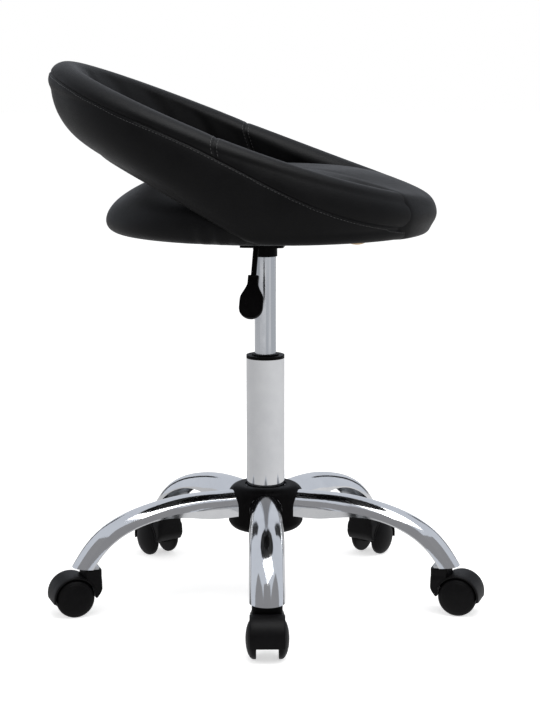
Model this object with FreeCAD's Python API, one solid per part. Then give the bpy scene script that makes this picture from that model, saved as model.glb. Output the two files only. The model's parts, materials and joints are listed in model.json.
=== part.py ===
import FreeCAD, Part
import math
import os

from FreeCAD import Vector

# Rolling stylist stool, millimetres.
# +Z is up and the origin is on the floor, under the middle of the lift column.
# The front of the seat points along +X, apart from the small turn it stands at.

# Driving sizes: how the stool stands
seat_turn = -5.5
base_turn = 0.4
arm_count = 5

# Driving sizes: gas lift
tube_outer = 50.0
tube_wall = 1.6
tube_bottom = 92.0
tube_top = 321.5
tube_taper_drop = 1.0
tube_floor = 3.0
collar_thickness = 4.0
collar_lip = 1.6
collar_sleeve_length = 84.0
cylinder_diameter = 28.0
cylinder_wall = 2.0
cylinder_crown = 5.0
lift_stroke = 120.0
running_gap = 0.05
bump_stop_height = 8.0
bump_stop_diameter = 22.0
rod_diameter = 10.0
rod_stud_diameter = 8.0
piston_height = 10.0
rod_guide_height = 12.0
race_thickness = 2.5
race_diameter = 24.0
ball_diameter = 4.0
ball_count = 12
washer_thickness = 1.5
clip_thickness = 1.2
clip_width = 3.5
clip_opening = 4.0
stud_tail = 4.0

# Driving sizes: seat plate, its box and the taper socket
socket_diameter = 31.6
socket_bottom = 455.0
taper_length = 16.0
taper_drop = 1.2
seat_underside = 487.0
under_cover_thickness = 1.0
plate_thickness = 3.0
plate_length = 150.0
plate_width = 190.0
plate_corner = 14.0
bolt_spacing_x = 116.0
bolt_spacing_y = 152.0
bolt_diameter = 6.0
bolt_head_diameter = 12.0
bolt_head_height = 3.6
bolt_grip_above = 9.0
nut_flange_diameter = 18.0
nut_flange_thickness = 1.6
nut_barrel_diameter = 8.0
box_length = 56.0
box_width = 104.0
box_depth = 12.0
box_wall = 1.6

# Driving sizes: height lever and valve button
lever_rod_diameter = 7.0
lever_turn = -5.5
lever_pivot_inset = 10.0
lever_eye_width = 10.0
lever_eye_wall = 0.4
lever_pivot_drop = 4.8
lever_inner_reach = 6.0
lever_bend_outside = 6.0
lever_bend_radius = 9.0
lever_fall = 65.0
lever_slope_length = 58.0
lever_slot_clearance = 1.2
pivot_pin_diameter = 4.0
pivot_pin_end = 1.0
paddle_start = 43.8
paddle_length = 56.0
paddle_neck = 13.6
paddle_width = 30.4
paddle_thickness = 9.0
paddle_rim = 1.6
paddle_dish = 0.8
button_diameter = 8.0
button_gap = 0.15

# Driving sizes: round seat pad
pad_length_radius = 203.0
pad_width_radius = 186.0
pad_edge_height = 19.0
pad_shoulder_radius = 150.0
pad_shoulder_height = 66.0
pad_crown_height = 86.0
pad_flat_radius = 178.0
board_radius = 150.0
board_thickness = 12.0

# Driving sizes: tilted padded ring that is the backrest
ring_top_centre = -39.0
ring_top_rear = 217.0
ring_top_front = 238.0
ring_top_side = 175.5
ring_top_middle = 602.0
ring_top_rise = 83.5
ring_top_flattening = 2.0
ring_top_roll = 21.8
ring_roll_change = 1.6
ring_low_centre = -1.5
ring_low_length = 204.0
ring_low_side = 179.5
ring_low_height = 498.0
ring_low_roll = 14.0
ring_lift_off = -8.0
ring_lift_slope = 0.66
ring_lift_sag = 0.00065
ring_lift_softness = 18.0
ring_bulge = 9.8
ring_bulge_change = 3.6
ring_end_angle = 153.0
ring_section_step = 17.0
lip_root_radius = 140.0
lip_root_height = 71.0
lip_root_depth = 6.0
shell_thickness = 8.0
shell_inset = 9.0
shell_end_angle = 136.0

# Driving sizes: five legged base
arm_start_radius = 29.0
arm_straight_end = 80.0
arm_crown = 147.5
arm_easy_radius = 313.0
arm_easy_angle = 20.6
arm_tight_radius = 130.0
arm_end_angle = 74.0
arm_width_hub = 41.5
arm_width_end = 44.0
arm_height_hub = 32.0
arm_height_middle = 18.0
arm_height_end = 19.5
arm_side_wall = 1.5
arm_side_wall_hub = 12.0
arm_sheet = 1.8
arm_end_height = 62.0
hub_diameter = 60.0
hub_bottom = 100.0
hub_top = 150.0
sleeve_diameter = 16.0
end_plate_thickness = 2.5
cover_radius = 49.0
cover_seam = 124.0
cover_wall = 2.5
cover_top = 153.0
cover_shoulder = 140.0
cover_mouth_radius = 27.5
cover_foot = 94.0
cover_foot_shoulder = 104.0
cover_foot_radius = 33.0
cover_clearance = 0.4

# Driving sizes: hooded twin wheel casters
stem_setback = 19.1
caster_trail = 20.5
wheel_diameter = 50.0
wheel_width = 15.0
wheel_gap = 23.0
wheel_shoulder = 3.5
wheel_face_recess = 1.5
wheel_face_radius = 19.0
axle_diameter = 6.0
stem_diameter = 11.0
stem_pin_diameter = 9.0
stem_top = 80.0
stem_pin_bottom = 40.0
stem_flange_diameter = 17.0
stem_flange_thickness = 1.2
hood_clearance = 1.2
hood_wall = 2.6
hood_width = 57.0
hood_low_angle = -18.0
block_length = 36.0
block_width = 43.0
block_corner = 6.0
block_gap = 0.2
web_radius = 21.0
web_floor_gap = 11.0
web_clearance = 0.4
hood_inner_end = 31.0

# Heights and places worked out from the driving sizes
plate_top = seat_underside - under_cover_thickness
plate_bottom = plate_top - plate_thickness
box_bottom = plate_bottom - box_depth
lever_height = plate_bottom - lever_pivot_drop
lever_pivot_reach = box_width / 2.0 - lever_pivot_inset
lever_bend_reach = box_width / 2.0 + lever_bend_outside
cylinder_radius = cylinder_diameter / 2.0
cylinder_top = socket_bottom + taper_length
tube_radius = tube_outer / 2.0
tube_inner = tube_radius - tube_wall
hub_radius = hub_diameter / 2.0
bearing_bottom = tube_bottom + tube_floor
bearing_top = bearing_bottom + 2.0 * race_thickness + ball_diameter - 1.0
stop_top = bearing_top + bump_stop_height
cylinder_bottom = stop_top + lift_stroke + 2.0
wheel_radius = wheel_diameter / 2.0
hood_inner_radius = wheel_radius + hood_clearance
hood_outer_radius = hood_inner_radius + hood_wall
block_top = arm_end_height - stem_flange_thickness - block_gap


def arm_end_radius():
    """Distance from the column to the outer end of an arm's crown at its flat end."""
    easy = math.radians(arm_easy_angle)
    easy_end = arm_crown - arm_easy_radius * (1.0 - math.cos(easy))
    end = math.acos(math.cos(easy) - (easy_end - arm_end_height) / arm_tight_radius)
    easy_reach = arm_straight_end + arm_easy_radius * math.sin(easy)
    return easy_reach + arm_tight_radius * (math.sin(end) - math.sin(easy))


stem_radius_on_base = arm_end_radius() - stem_setback


def disc(radius, bottom, top):
    """Upright cylinder on the column axis."""
    return Part.makeCylinder(radius, top - bottom, Vector(0, 0, bottom))


def tube(outer_radius, inner_radius, bottom, top):
    """Upright tube on the column axis."""
    return disc(outer_radius, bottom, top).cut(disc(inner_radius, bottom, top))


def cone(bottom_radius, top_radius, bottom, top):
    """Upright cone on the column axis."""
    return Part.makeCone(bottom_radius, top_radius, top - bottom, Vector(0, 0, bottom))


def box(x_size, y_size, bottom, top, centre_x=0.0, centre_y=0.0):
    """Upright box centred on a point in plan."""
    corner = Vector(centre_x - x_size / 2.0, centre_y - y_size / 2.0, bottom)
    return Part.makeBox(x_size, y_size, top - bottom, corner)


def rounded_box(x_size, y_size, bottom, top, corner_radius):
    """Upright box with rounded upright edges."""
    block = box(x_size, y_size, bottom, top)
    upright = [edge for edge in block.Edges if abs(edge.tangentAt(0).z) > 0.9]
    return block.makeFillet(corner_radius, upright)


def turned(shape, degrees):
    """Copy of a shape turned about the column axis."""
    copy = shape.copy()
    copy.rotate(Vector(0, 0, 0), Vector(0, 0, 1), degrees)
    return copy


def moved(shape, x=0.0, y=0.0, z=0.0):
    """Copy of a shape moved along the axes."""
    copy = shape.copy()
    copy.translate(Vector(x, y, z))
    return copy


def seated(shape):
    """Turn a piece with the seat."""
    return turned(shape, seat_turn)


def levered(shape):
    """Turn a piece to the lever's direction, then with the seat."""
    return seated(turned(shape, lever_turn))


def cross_cylinder(radius, half_length, x, z):
    """Cylinder along Y, centred on the XZ plane."""
    return Part.makeCylinder(radius, 2.0 * half_length, Vector(x, -half_length, z), Vector(0, 1, 0))


def arc(start, middle, end):
    """Edge of the arc through three points."""
    return Part.Arc(start, middle, end).toShape()


def line(start, end):
    """Edge of a straight line."""
    return Part.LineSegment(start, end).toShape()


def save(name, shape):
    """Write one node."""
    shape.exportStep("parts/" + name + ".step")


# Gas lift
def outer_tube():
    """Chrome column: straight above the hub, slightly tapered inside it, with a welded floor."""
    straight = tube(tube_radius, tube_inner, hub_top, tube_top)
    low = cone(tube_radius - tube_taper_drop, tube_radius, tube_bottom, hub_top)
    low = low.cut(disc(tube_inner - tube_taper_drop, tube_bottom + tube_floor, hub_top))
    low = low.cut(disc(rod_stud_diameter / 2.0 + running_gap, tube_bottom, bearing_bottom))
    return straight.fuse(low).removeSplitter()


def guide_bush():
    """Plastic collar on the tube, with the sleeve that guides the cylinder."""
    bore = cylinder_radius + running_gap
    flange = tube(tube_radius, bore, tube_top, tube_top + collar_thickness)
    lip_top = tube_top + collar_thickness + collar_lip
    lip = tube(cylinder_radius + 3.5, bore, tube_top + collar_thickness, lip_top)
    sleeve = tube(tube_inner, bore, tube_top - collar_sleeve_length, tube_top)
    return flange.fuse(lip).fuse(sleeve).removeSplitter()


def gas_cylinder():
    """Sliding cylinder with a tapered head that wedges in the seat socket."""
    body = disc(cylinder_radius, cylinder_bottom, socket_bottom)
    head = cone(cylinder_radius, cylinder_radius - taper_drop, socket_bottom, cylinder_top)
    chamber = disc(cylinder_radius - cylinder_wall, cylinder_bottom, socket_bottom - cylinder_crown)
    button_hole = disc(button_diameter / 2.0 + running_gap, socket_bottom - cylinder_crown, cylinder_top)
    return body.fuse(head).cut(chamber).cut(button_hole).removeSplitter()


def rod_guide():
    """Seal and guide that closes the lower end of the cylinder."""
    bore = rod_diameter / 2.0 + running_gap
    return tube(cylinder_radius - cylinder_wall, bore, cylinder_bottom, cylinder_bottom + rod_guide_height)


def piston_bottom():
    """Height of the piston's lower face, just above the rod guide."""
    return cylinder_bottom + rod_guide_height + 1.0


def piston_rod():
    """Polished rod that stands on the bearing, with a stud through the tube floor."""
    shaft = disc(rod_diameter / 2.0, bearing_top, piston_bottom() + piston_height)
    tail = tube_bottom - washer_thickness - clip_thickness - stud_tail
    return shaft.fuse(disc(rod_stud_diameter / 2.0, tail, bearing_top)).removeSplitter()


def piston():
    """Piston on the upper end of the rod."""
    radius = cylinder_radius - cylinder_wall - running_gap
    return tube(radius, rod_diameter / 2.0, piston_bottom(), piston_bottom() + piston_height)


def bump_stop():
    """Rubber ring that ends the downward travel."""
    return tube(bump_stop_diameter / 2.0, rod_diameter / 2.0 + running_gap, bearing_top, stop_top)


def bearing_race(bottom):
    """One flat washer of the thrust bearing with its ball groove."""
    race = tube(race_diameter / 2.0, rod_stud_diameter / 2.0 + running_gap, bottom, bottom + race_thickness)
    return race.cut(ball_track())


def ball_circle():
    """Radius of the ring of balls."""
    return (race_diameter / 2.0 + rod_stud_diameter / 2.0) / 2.0


def ball_track():
    """Round groove that the balls run in."""
    centre_height = (bearing_bottom + bearing_top) / 2.0
    return Part.makeTorus(ball_circle(), ball_diameter / 2.0 + running_gap, Vector(0, 0, centre_height))


def bearing_balls():
    """Ring of balls between the two races."""
    centre_height = (bearing_bottom + bearing_top) / 2.0
    ball = Part.makeSphere(ball_diameter / 2.0, Vector(ball_circle(), 0, centre_height))
    return Part.makeCompound([turned(ball, i * 360.0 / ball_count) for i in range(ball_count)])


def base_washer():
    """Washer under the tube floor."""
    bore = rod_stud_diameter / 2.0 + running_gap
    return tube(race_diameter / 2.0 - 2.0, bore, tube_bottom - washer_thickness, tube_bottom)


def retaining_clip():
    """Spring clip that holds the rod's stud in the tube."""
    top = tube_bottom - washer_thickness
    ring = tube(rod_stud_diameter / 2.0 + clip_width, rod_stud_diameter / 2.0, top - clip_thickness, top)
    opening = box(2.0 * rod_stud_diameter, clip_opening, top - clip_thickness, top, rod_stud_diameter)
    return ring.cut(opening)


def valve_button():
    """Release pin in the head of the cylinder."""
    top = lever_height - lever_rod_diameter / 2.0 - button_gap
    return disc(button_diameter / 2.0, socket_bottom - cylinder_crown, top)


# Seat plate and height lever
def bolt_points():
    """Plan points of the four plate bolts."""
    return [(x * bolt_spacing_x / 2.0, y * bolt_spacing_y / 2.0) for x in (-1, 1) for y in (-1, 1)]


def mounting_plate():
    """Flat steel plate under the seat."""
    plate = rounded_box(plate_length, plate_width, plate_bottom, plate_top, plate_corner)
    for x, y in bolt_points():
        plate = plate.cut(moved(disc(bolt_diameter / 2.0 + 0.3, plate_bottom, plate_top), x, y))
    return plate


def lever_slot():
    """Room for the lever rod to rock in the wall of the lever box."""
    half = lever_rod_diameter / 2.0 + lever_slot_clearance
    slot = box(2.0 * half, box_width, lever_height - half, plate_bottom, 0.0, -box_width / 2.0)
    return turned(slot, lever_turn)


def lever_box():
    """Shallow pressed box that carries the lever pivot and the taper socket."""
    outside = rounded_box(box_length, box_width, box_bottom, plate_bottom, 5.0)
    inside = rounded_box(box_length - 2.0 * box_wall, box_width - 2.0 * box_wall,
                         box_bottom + box_wall, plate_bottom, 3.0)
    shell = outside.cut(inside).cut(lever_slot())
    shell = shell.cut(disc(socket_diameter / 2.0, box_bottom, plate_bottom))
    return shell.cut(turned(pivot_pin(), lever_turn))


def taper_socket():
    """Black socket that the cylinder's head wedges into."""
    body = disc(socket_diameter / 2.0, socket_bottom, box_bottom + box_wall / 2.0)
    body = body.cut(disc(cylinder_radius - taper_drop, cylinder_top, box_bottom + box_wall))
    bore = cone(cylinder_radius, cylinder_radius - taper_drop, socket_bottom, cylinder_top)
    return body.cut(bore)


def pivot_pin():
    """Cross pin that the lever rocks on, held in the sides of the box."""
    half = box_length / 2.0 + pivot_pin_end
    pin = Part.makeCylinder(pivot_pin_diameter / 2.0, 2.0 * half, Vector(-half, 0, lever_height), Vector(1, 0, 0))
    return moved(pin, 0.0, -lever_pivot_reach)


def lever_path():
    """Centre line of the lever rod in the YZ plane, bent down outside the box."""
    fall = math.radians(lever_fall)
    bend = lever_bend_radius * math.tan(fall / 2.0)
    inner = Vector(0, lever_inner_reach, lever_height)
    bend_start = Vector(0, bend - lever_bend_reach, lever_height)
    centre = bend_start + Vector(0, 0, -lever_bend_radius)
    half = fall / 2.0
    bend_middle = centre + Vector(0, -math.sin(half), math.cos(half)) * lever_bend_radius
    bend_end = centre + Vector(0, -math.sin(fall), math.cos(fall)) * lever_bend_radius
    outer = bend_end + Vector(0, -math.cos(fall), -math.sin(fall)) * (lever_slope_length - bend)
    edges = [line(inner, bend_start), arc(bend_start, bend_middle, bend_end), line(bend_end, outer)]
    return Part.Wire(edges), inner


def lever_rod():
    """Bent steel rod with the eye that turns on the cross pin."""
    path, inner = lever_path()
    circle = Part.Circle(inner, Vector(0, 1, 0), lever_rod_diameter / 2.0).toShape()
    rod = path.makePipeShell([Part.Wire([circle])], True, False)
    start = Vector(-lever_eye_width / 2.0, -lever_pivot_reach, lever_height)
    eye = Part.makeCylinder(lever_rod_diameter / 2.0 + lever_eye_wall, lever_eye_width, start, Vector(1, 0, 0))
    bore = Part.makeCylinder(pivot_pin_diameter / 2.0 + running_gap, lever_eye_width, start, Vector(1, 0, 0))
    return rod.fuse(eye).cut(bore).removeSplitter()


def paddle_outline(inset, depth):
    """Outline of the paddle, pressed to a depth: a straight neck, shoulders and a round end. -Y is along the rod."""
    neck = paddle_neck / 2.0 - inset
    half = paddle_width / 2.0 - inset
    top = -inset
    bottom = -paddle_length + inset
    neck_end = -paddle_length * 0.28
    shoulder = -paddle_length * 0.5
    side_end = -paddle_length * 0.7
    flare = Vector((neck + half) / 2.0, (neck_end + shoulder) / 2.0, 0)
    hollow = Vector(neck + (half - neck) * 0.13, neck_end * 0.62 + shoulder * 0.38, 0)
    round_out = Vector(half - (half - neck) * 0.13, neck_end * 0.38 + shoulder * 0.62, 0)
    low = Vector(half * 0.74, side_end + (bottom - side_end) * 0.68, 0)
    side = [Vector(neck, top, 0), Vector(neck, neck_end, 0), flare, Vector(half, shoulder, 0),
            Vector(half, side_end, 0), Vector(0, bottom, 0)]
    middles = [None, hollow, round_out, None, low]

    def mirrored(point):
        return Vector(-point.x, point.y, point.z)

    edges = [line(mirrored(side[0]), side[0])]
    for start, middle, end in zip(side[:-1], middles, side[1:]):
        if middle is None:
            edges.append(line(start, end))
        else:
            edges.append(arc(start, middle, end))
    for start, middle, end in reversed(list(zip(side[:-1], middles, side[1:]))):
        if middle is None:
            edges.append(line(mirrored(end), mirrored(start)))
        else:
            edges.append(arc(mirrored(end), mirrored(middle), mirrored(start)))
    return Part.Face(Part.Wire(edges)).extrude(Vector(0, 0, depth))


def lever_paddle():
    """Plastic paddle pushed over the end of the rod, with a raised rim on both faces."""
    blank = moved(paddle_outline(0.0, paddle_thickness), 0, 0, -paddle_thickness / 2.0)
    dish = paddle_outline(paddle_rim, paddle_dish)
    blank = blank.cut(moved(dish, 0, 0, paddle_thickness / 2.0 - paddle_dish))
    blank = blank.cut(moved(dish, 0, 0, -paddle_thickness / 2.0))
    blank.rotate(Vector(0, 0, 0), Vector(1, 0, 0), lever_fall)
    fall = math.radians(lever_fall)
    start = Vector(0, -lever_bend_reach, lever_height)
    start += Vector(0, -math.cos(fall), -math.sin(fall)) * paddle_start
    return moved(blank, 0, start.y, start.z).cut(lever_rod())


# Seat pad, board and backrest ring
def seat_pad():
    """Round pad, flat below, crowned above, with a drawn-in edge."""
    low = seat_underside
    shoulder = low + pad_shoulder_height
    crown = low + pad_crown_height
    rise = crown - shoulder
    crown_radius = (pad_shoulder_radius ** 2 + rise ** 2) / (2.0 * rise)
    half_angle = math.asin(pad_shoulder_radius / crown_radius) / 2.0
    crown_middle = Vector(crown_radius * math.sin(half_angle), 0,
                          crown - crown_radius * (1.0 - math.cos(half_angle)))
    tip = Vector(pad_length_radius, 0, low + pad_edge_height)
    flat_end = Vector(pad_flat_radius, 0, low)
    low_middle = Vector(pad_length_radius - 6.0, 0, low + pad_edge_height * 0.32)
    high_middle = (tip + Vector(pad_shoulder_radius, 0, shoulder)) * 0.5 + Vector(6.0, 0, 2.5)
    edges = [
        line(Vector(0, 0, low), flat_end),
        arc(flat_end, low_middle, tip),
        arc(tip, high_middle, Vector(pad_shoulder_radius, 0, shoulder)),
        arc(Vector(pad_shoulder_radius, 0, shoulder), crown_middle, Vector(0, 0, crown)),
        line(Vector(0, 0, crown), Vector(0, 0, low)),
    ]
    pad = Part.Face(Part.Wire(edges)).revolve(Vector(0, 0, 0), Vector(0, 0, 1), 360.0)
    squeeze = FreeCAD.Matrix()
    squeeze.scale(Vector(1.0, pad_width_radius / pad_length_radius, 1.0))
    return pad.transformGeometry(squeeze)


def ring_top_point(angle):
    """Centre of the ring's upper roll. The angle is 0 at the rear and 180 at the front."""
    a = math.radians(angle)
    half_length = ring_top_rear if math.cos(a) > 0 else ring_top_front
    z = ring_top_middle + ring_top_rise * math.cos(a) - ring_top_flattening * math.cos(3.0 * a)
    return Vector(ring_top_centre - half_length * math.cos(a), -ring_top_side * math.sin(a), z)


def ring_low_point(angle):
    """Centre of the ring's lower roll, which climbs off the pad towards the rear."""
    a = math.radians(angle)
    x = ring_low_centre - ring_low_length * math.cos(a)
    behind = ring_lift_off - x
    eased = (behind + math.hypot(behind, ring_lift_softness)) / 2.0
    z = ring_low_height + ring_lift_slope * eased - ring_lift_sag * eased ** 2
    return Vector(x, -ring_low_side * math.sin(a), z)


def ring_frame(angle):
    """Upward and outward directions of the ring's section at an angle."""
    a = math.radians(angle)
    up = ring_top_point(angle) - ring_low_point(angle)
    up.normalize()
    outward = Vector(-math.cos(a), -math.sin(a), 0)
    outward = outward - up * outward.dot(up)
    outward.normalize()
    return up, outward


def rounded_section(high, low, up, outward, high_radius, low_radius, bulge):
    """Closed section: a roll at each end, a bulging outer wall and a straight inner wall."""
    q = math.sqrt(0.5)
    high_in = high - outward * high_radius
    high_out = high + outward * high_radius
    high_tip = high + up * high_radius
    low_in = low - outward * low_radius
    low_out = low + outward * low_radius
    low_tip = low - up * low_radius
    wall_middle = (high_out + low_out) * 0.5 + outward * bulge
    edges = [
        arc(high_in, high + (up - outward) * (q * high_radius), high_tip),
        arc(high_tip, high + (up + outward) * (q * high_radius), high_out),
        arc(high_out, wall_middle, low_out),
        arc(low_out, low + (outward - up) * (q * low_radius), low_tip),
        arc(low_tip, low - (outward + up) * (q * low_radius), low_in),
        line(low_in, high_in),
    ]
    return Part.Wire(edges)


def ring_section(angle):
    """Section of the padded ring."""
    up, outward = ring_frame(angle)
    c = math.cos(math.radians(angle))
    return rounded_section(ring_top_point(angle), ring_low_point(angle), up, outward,
                           ring_top_roll + ring_roll_change * c, ring_low_roll + 1.25 * ring_roll_change * c,
                           ring_bulge + ring_bulge_change * c)


def lip_section(angle):
    """Section of the front lip, whose top runs on into the pad's crown."""
    up, outward = ring_frame(angle)
    high = ring_top_point(angle)
    low = ring_low_point(angle)
    c = math.cos(math.radians(angle))
    high_radius = ring_top_roll + ring_roll_change * c
    low_radius = ring_low_roll + 1.25 * ring_roll_change * c
    q = math.sqrt(0.5)
    high_tip = high + up * high_radius
    high_out = high + outward * high_radius
    low_out = low + outward * low_radius
    low_tip = low - up * low_radius
    reach = Vector(-math.cos(math.radians(angle)), -math.sin(math.radians(angle)), 0) * lip_root_radius
    root_top = reach + Vector(0, 0, seat_underside + lip_root_height)
    root_low = reach + Vector(0, 0, seat_underside + lip_root_depth)
    waterfall = (root_top + high_tip) * 0.5 + Vector(0, 0, 3.0)
    edges = [
        arc(root_top, waterfall, high_tip),
        arc(high_tip, high + (up + outward) * (q * high_radius), high_out),
        arc(high_out, (high_out + low_out) * 0.5 + outward * (ring_bulge + ring_bulge_change * c), low_out),
        arc(low_out, low + (outward - up) * (q * low_radius), low_tip),
        line(low_tip, root_low),
        line(root_low, root_top),
    ]
    return Part.Wire(edges)


def shell_section(angle):
    """Section of the bent shell inside the ring."""
    up, outward = ring_frame(angle)
    half = shell_thickness / 2.0
    high = ring_top_point(angle) - up * shell_inset
    low = ring_low_point(angle) + up * 2.0
    return rounded_section(high, low, up, outward, half, half, 3.0)


def loft(sections):
    """Smooth solid through sections."""
    return Part.makeLoft(sections, True, False)


def ring_loft(section, start, end):
    """Loft of a section function from one ring angle to another."""
    steps = max(2, round((end - start) / ring_section_step))
    return loft([section(start + (end - start) * i / steps) for i in range(steps + 1)])


def backrest_shell():
    """Bent board that stiffens the padded ring."""
    return ring_loft(shell_section, -shell_end_angle, shell_end_angle)


def backrest_ring(shell):
    """Padded ring from one side of the front lip round the back to the other."""
    return ring_loft(ring_section, -ring_end_angle, ring_end_angle).cut(shell)


def seat_board():
    """Board under the pad, drilled for the plate's nuts."""
    board = disc(board_radius, seat_underside, seat_underside + board_thickness)
    for x, y in bolt_points():
        hole = disc(nut_barrel_diameter / 2.0, seat_underside, seat_underside + board_thickness)
        flange = disc(nut_flange_diameter / 2.0, nut_flange_bottom(), seat_underside + board_thickness)
        board = board.cut(moved(hole, x, y)).cut(moved(flange, x, y))
    return board


def nut_flange_bottom():
    """Height of the underside of the nuts' flanges, let into the top of the board."""
    return seat_underside + board_thickness - nut_flange_thickness


def plate_nuts():
    """Four flanged nuts sunk in the board."""
    top = seat_underside + board_thickness
    flange = disc(nut_flange_diameter / 2.0, nut_flange_bottom(), top)
    barrel = disc(nut_barrel_diameter / 2.0, seat_underside, nut_flange_bottom())
    nut = flange.fuse(barrel).cut(disc(bolt_diameter / 2.0, seat_underside, top)).removeSplitter()
    return Part.makeCompound([moved(nut, x, y) for x, y in bolt_points()])


def plate_bolts():
    """Four round headed bolts that hold the plate to the board."""
    shank = disc(bolt_diameter / 2.0, plate_bottom, seat_underside + bolt_grip_above)
    head = disc(bolt_head_diameter / 2.0, plate_bottom - bolt_head_height, plate_bottom)
    head = head.makeFillet(1.2, [edge for edge in head.Edges if edge.BoundBox.ZMax < plate_bottom - 1.0])
    recess = disc(2.2, plate_bottom - bolt_head_height, plate_bottom - bolt_head_height + 2.0)
    bolt = head.fuse(shank).cut(recess).removeSplitter()
    return Part.makeCompound([moved(bolt, x, y) for x, y in bolt_points()])


def under_cover():
    """Thin black cloth on the underside of the seat."""
    cloth = disc(board_radius + 8.0, plate_top, seat_underside)
    for x, y in bolt_points():
        cloth = cloth.cut(moved(disc(bolt_diameter / 2.0 + 0.3, plate_top, seat_underside), x, y))
    return cloth


def seat_cushion(ring):
    """Pad with the front lip that the ring's two ends are sewn to."""
    lip = ring_loft(lip_section, ring_end_angle, 360.0 - ring_end_angle)
    pad = seat_pad().cut(ring).fuse(lip)
    pad = pad.cut(disc(board_radius, seat_underside, seat_underside + board_thickness))
    return pad


# Base
def arm_station(angle):
    """Crown point, normal and tangent of an arm in its own XZ plane at a fall angle."""
    a = math.radians(angle)
    easy = math.radians(min(angle, arm_easy_angle))
    x = arm_straight_end + arm_easy_radius * math.sin(easy)
    z = arm_crown - arm_easy_radius * (1.0 - math.cos(easy))
    if angle > arm_easy_angle:
        x += arm_tight_radius * (math.sin(a) - math.sin(easy))
        z -= arm_tight_radius * (math.cos(easy) - math.cos(a))
    return Vector(x, 0, z), Vector(math.sin(a), 0, math.cos(a))


def arch_section(crown, normal, width, height, side, inset, skirt):
    """Arched section: flat below, upright sides and a round top."""
    half = width / 2.0 - inset
    top = crown - normal * inset
    sag = height - side - inset
    radius = (half ** 2 + sag ** 2) / (2.0 * sag)
    swing = math.asin(min(1.0, half / radius)) / 2.0
    across = Vector(0, 1, 0)
    centre = top - normal * radius
    right_middle = centre + (normal * math.cos(swing) + across * math.sin(swing)) * radius
    left_middle = centre + (normal * math.cos(swing) - across * math.sin(swing)) * radius
    right_shoulder = top - normal * sag + across * half
    left_shoulder = top - normal * sag - across * half
    right_rim = crown - normal * (height + skirt) + across * half
    left_rim = crown - normal * (height + skirt) - across * half
    edges = [
        line(left_rim, right_rim),
        line(right_rim, right_shoulder),
        arc(right_shoulder, right_middle, top),
        arc(top, left_middle, left_shoulder),
        line(left_shoulder, left_rim),
    ]
    return Part.Wire(edges)


def arm_sizes(x, angle):
    """Width, height and upright side of the arm at a distance from the column."""
    along = min(1.0, max(0.0, (x - arm_straight_end) / arm_straight_end))
    width = arm_width_hub + (arm_width_end - arm_width_hub) * along
    middle = arm_height_hub + (arm_height_middle - arm_height_hub) * along
    out = max(0.0, (angle - arm_easy_angle) / (arm_end_angle - arm_easy_angle))
    height = middle + (arm_height_end - arm_height_middle) * out
    side = arm_side_wall_hub + (arm_side_wall - arm_side_wall_hub) * along
    return width, height, side


def arm_solid(inset, skirt):
    """Solid arm along +X, shrunk by an inset and with its flat side lowered by a skirt."""
    sections = []
    flat = Vector(0, 0, 1)
    for x in (arm_start_radius, arm_straight_end * 0.7):
        width, height, side = arm_sizes(x, 0.0)
        sections.append(arch_section(Vector(x, 0, arm_crown), flat, width, height, side, inset, skirt))
    for angle in (0.0, 7.0, 14.0, arm_easy_angle, 33.0, 46.0, 60.0, arm_end_angle):
        crown, normal = arm_station(angle)
        width, height, side = arm_sizes(crown.x, angle)
        sections.append(arch_section(crown, normal, width, height, side, inset, skirt))
    return loft(sections)


def above_end(shape):
    """Keep what is above the arm's flat end."""
    reach = 2.0 * stem_radius_on_base
    return shape.cut(box(reach, reach, 0.0, arm_end_height, stem_radius_on_base))


def arm_pieces():
    """One pressed arm and the room inside it."""
    room = arm_solid(arm_sheet, 6.0)
    arm = above_end(arm_solid(0.0, 0.0).cut(room)).cut(disc(hub_radius, 0.0, tube_top))
    return arm, above_end(room)


def hub_socket():
    """Steel hub with the taper that holds the column."""
    bore = cone(tube_radius - tube_taper_drop, tube_radius, tube_bottom, hub_top)
    return disc(hub_radius, hub_bottom, hub_top).cut(bore)


def arm_opening():
    """Straight arched room that lets an arm out of the hub cover."""
    wide = cover_clearance
    sections = []
    for x in (hub_radius, cover_radius + 12.0):
        sections.append(arch_section(Vector(x, 0, arm_crown + wide), Vector(0, 0, 1),
                                     arm_width_hub + 2.0 * wide, arm_height_hub + 2.0 * wide,
                                     arm_side_wall_hub, 0.0, 0.0))
    return Part.makeLoft(sections, True, True)


def revolved(points_and_middles):
    """Ring turned from a closed outline of (start, middle or None) points in the XZ plane."""
    edges = []
    count = len(points_and_middles)
    for i in range(count):
        start, middle = points_and_middles[i]
        end = points_and_middles[(i + 1) % count][0]
        start_point = Vector(start[0], 0, start[1])
        end_point = Vector(end[0], 0, end[1])
        if middle is None:
            edges.append(line(start_point, end_point))
        else:
            edges.append(arc(start_point, Vector(middle[0], 0, middle[1]), end_point))
    return Part.Face(Part.Wire(edges)).revolve(Vector(0, 0, 0), Vector(0, 0, 1), 360.0)


def cover_shell(seam, shoulder, shoulder_radius, end, mouth_radius):
    """Half of the hub cover: a skirt, a round shoulder and a flat rim round the column."""
    way = 1.0 if end > seam else -1.0
    wall = cover_wall
    bend = 0.29
    outer_mid = (cover_radius - (cover_radius - shoulder_radius) * bend,
                 end - (end - shoulder) * bend)
    inner_mid = (outer_mid[0] - wall * 0.7, outer_mid[1] - way * wall * 0.7)
    inner_end = end - way * wall
    outline = [
        ((cover_radius, seam), None),
        ((cover_radius, shoulder), outer_mid),
        ((shoulder_radius, end), None),
        ((mouth_radius, end), None),
        ((mouth_radius, inner_end), None),
        ((shoulder_radius, inner_end), inner_mid),
        ((cover_radius - wall, shoulder), None),
        ((cover_radius - wall, seam), None),
    ]
    return revolved(outline)


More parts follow.
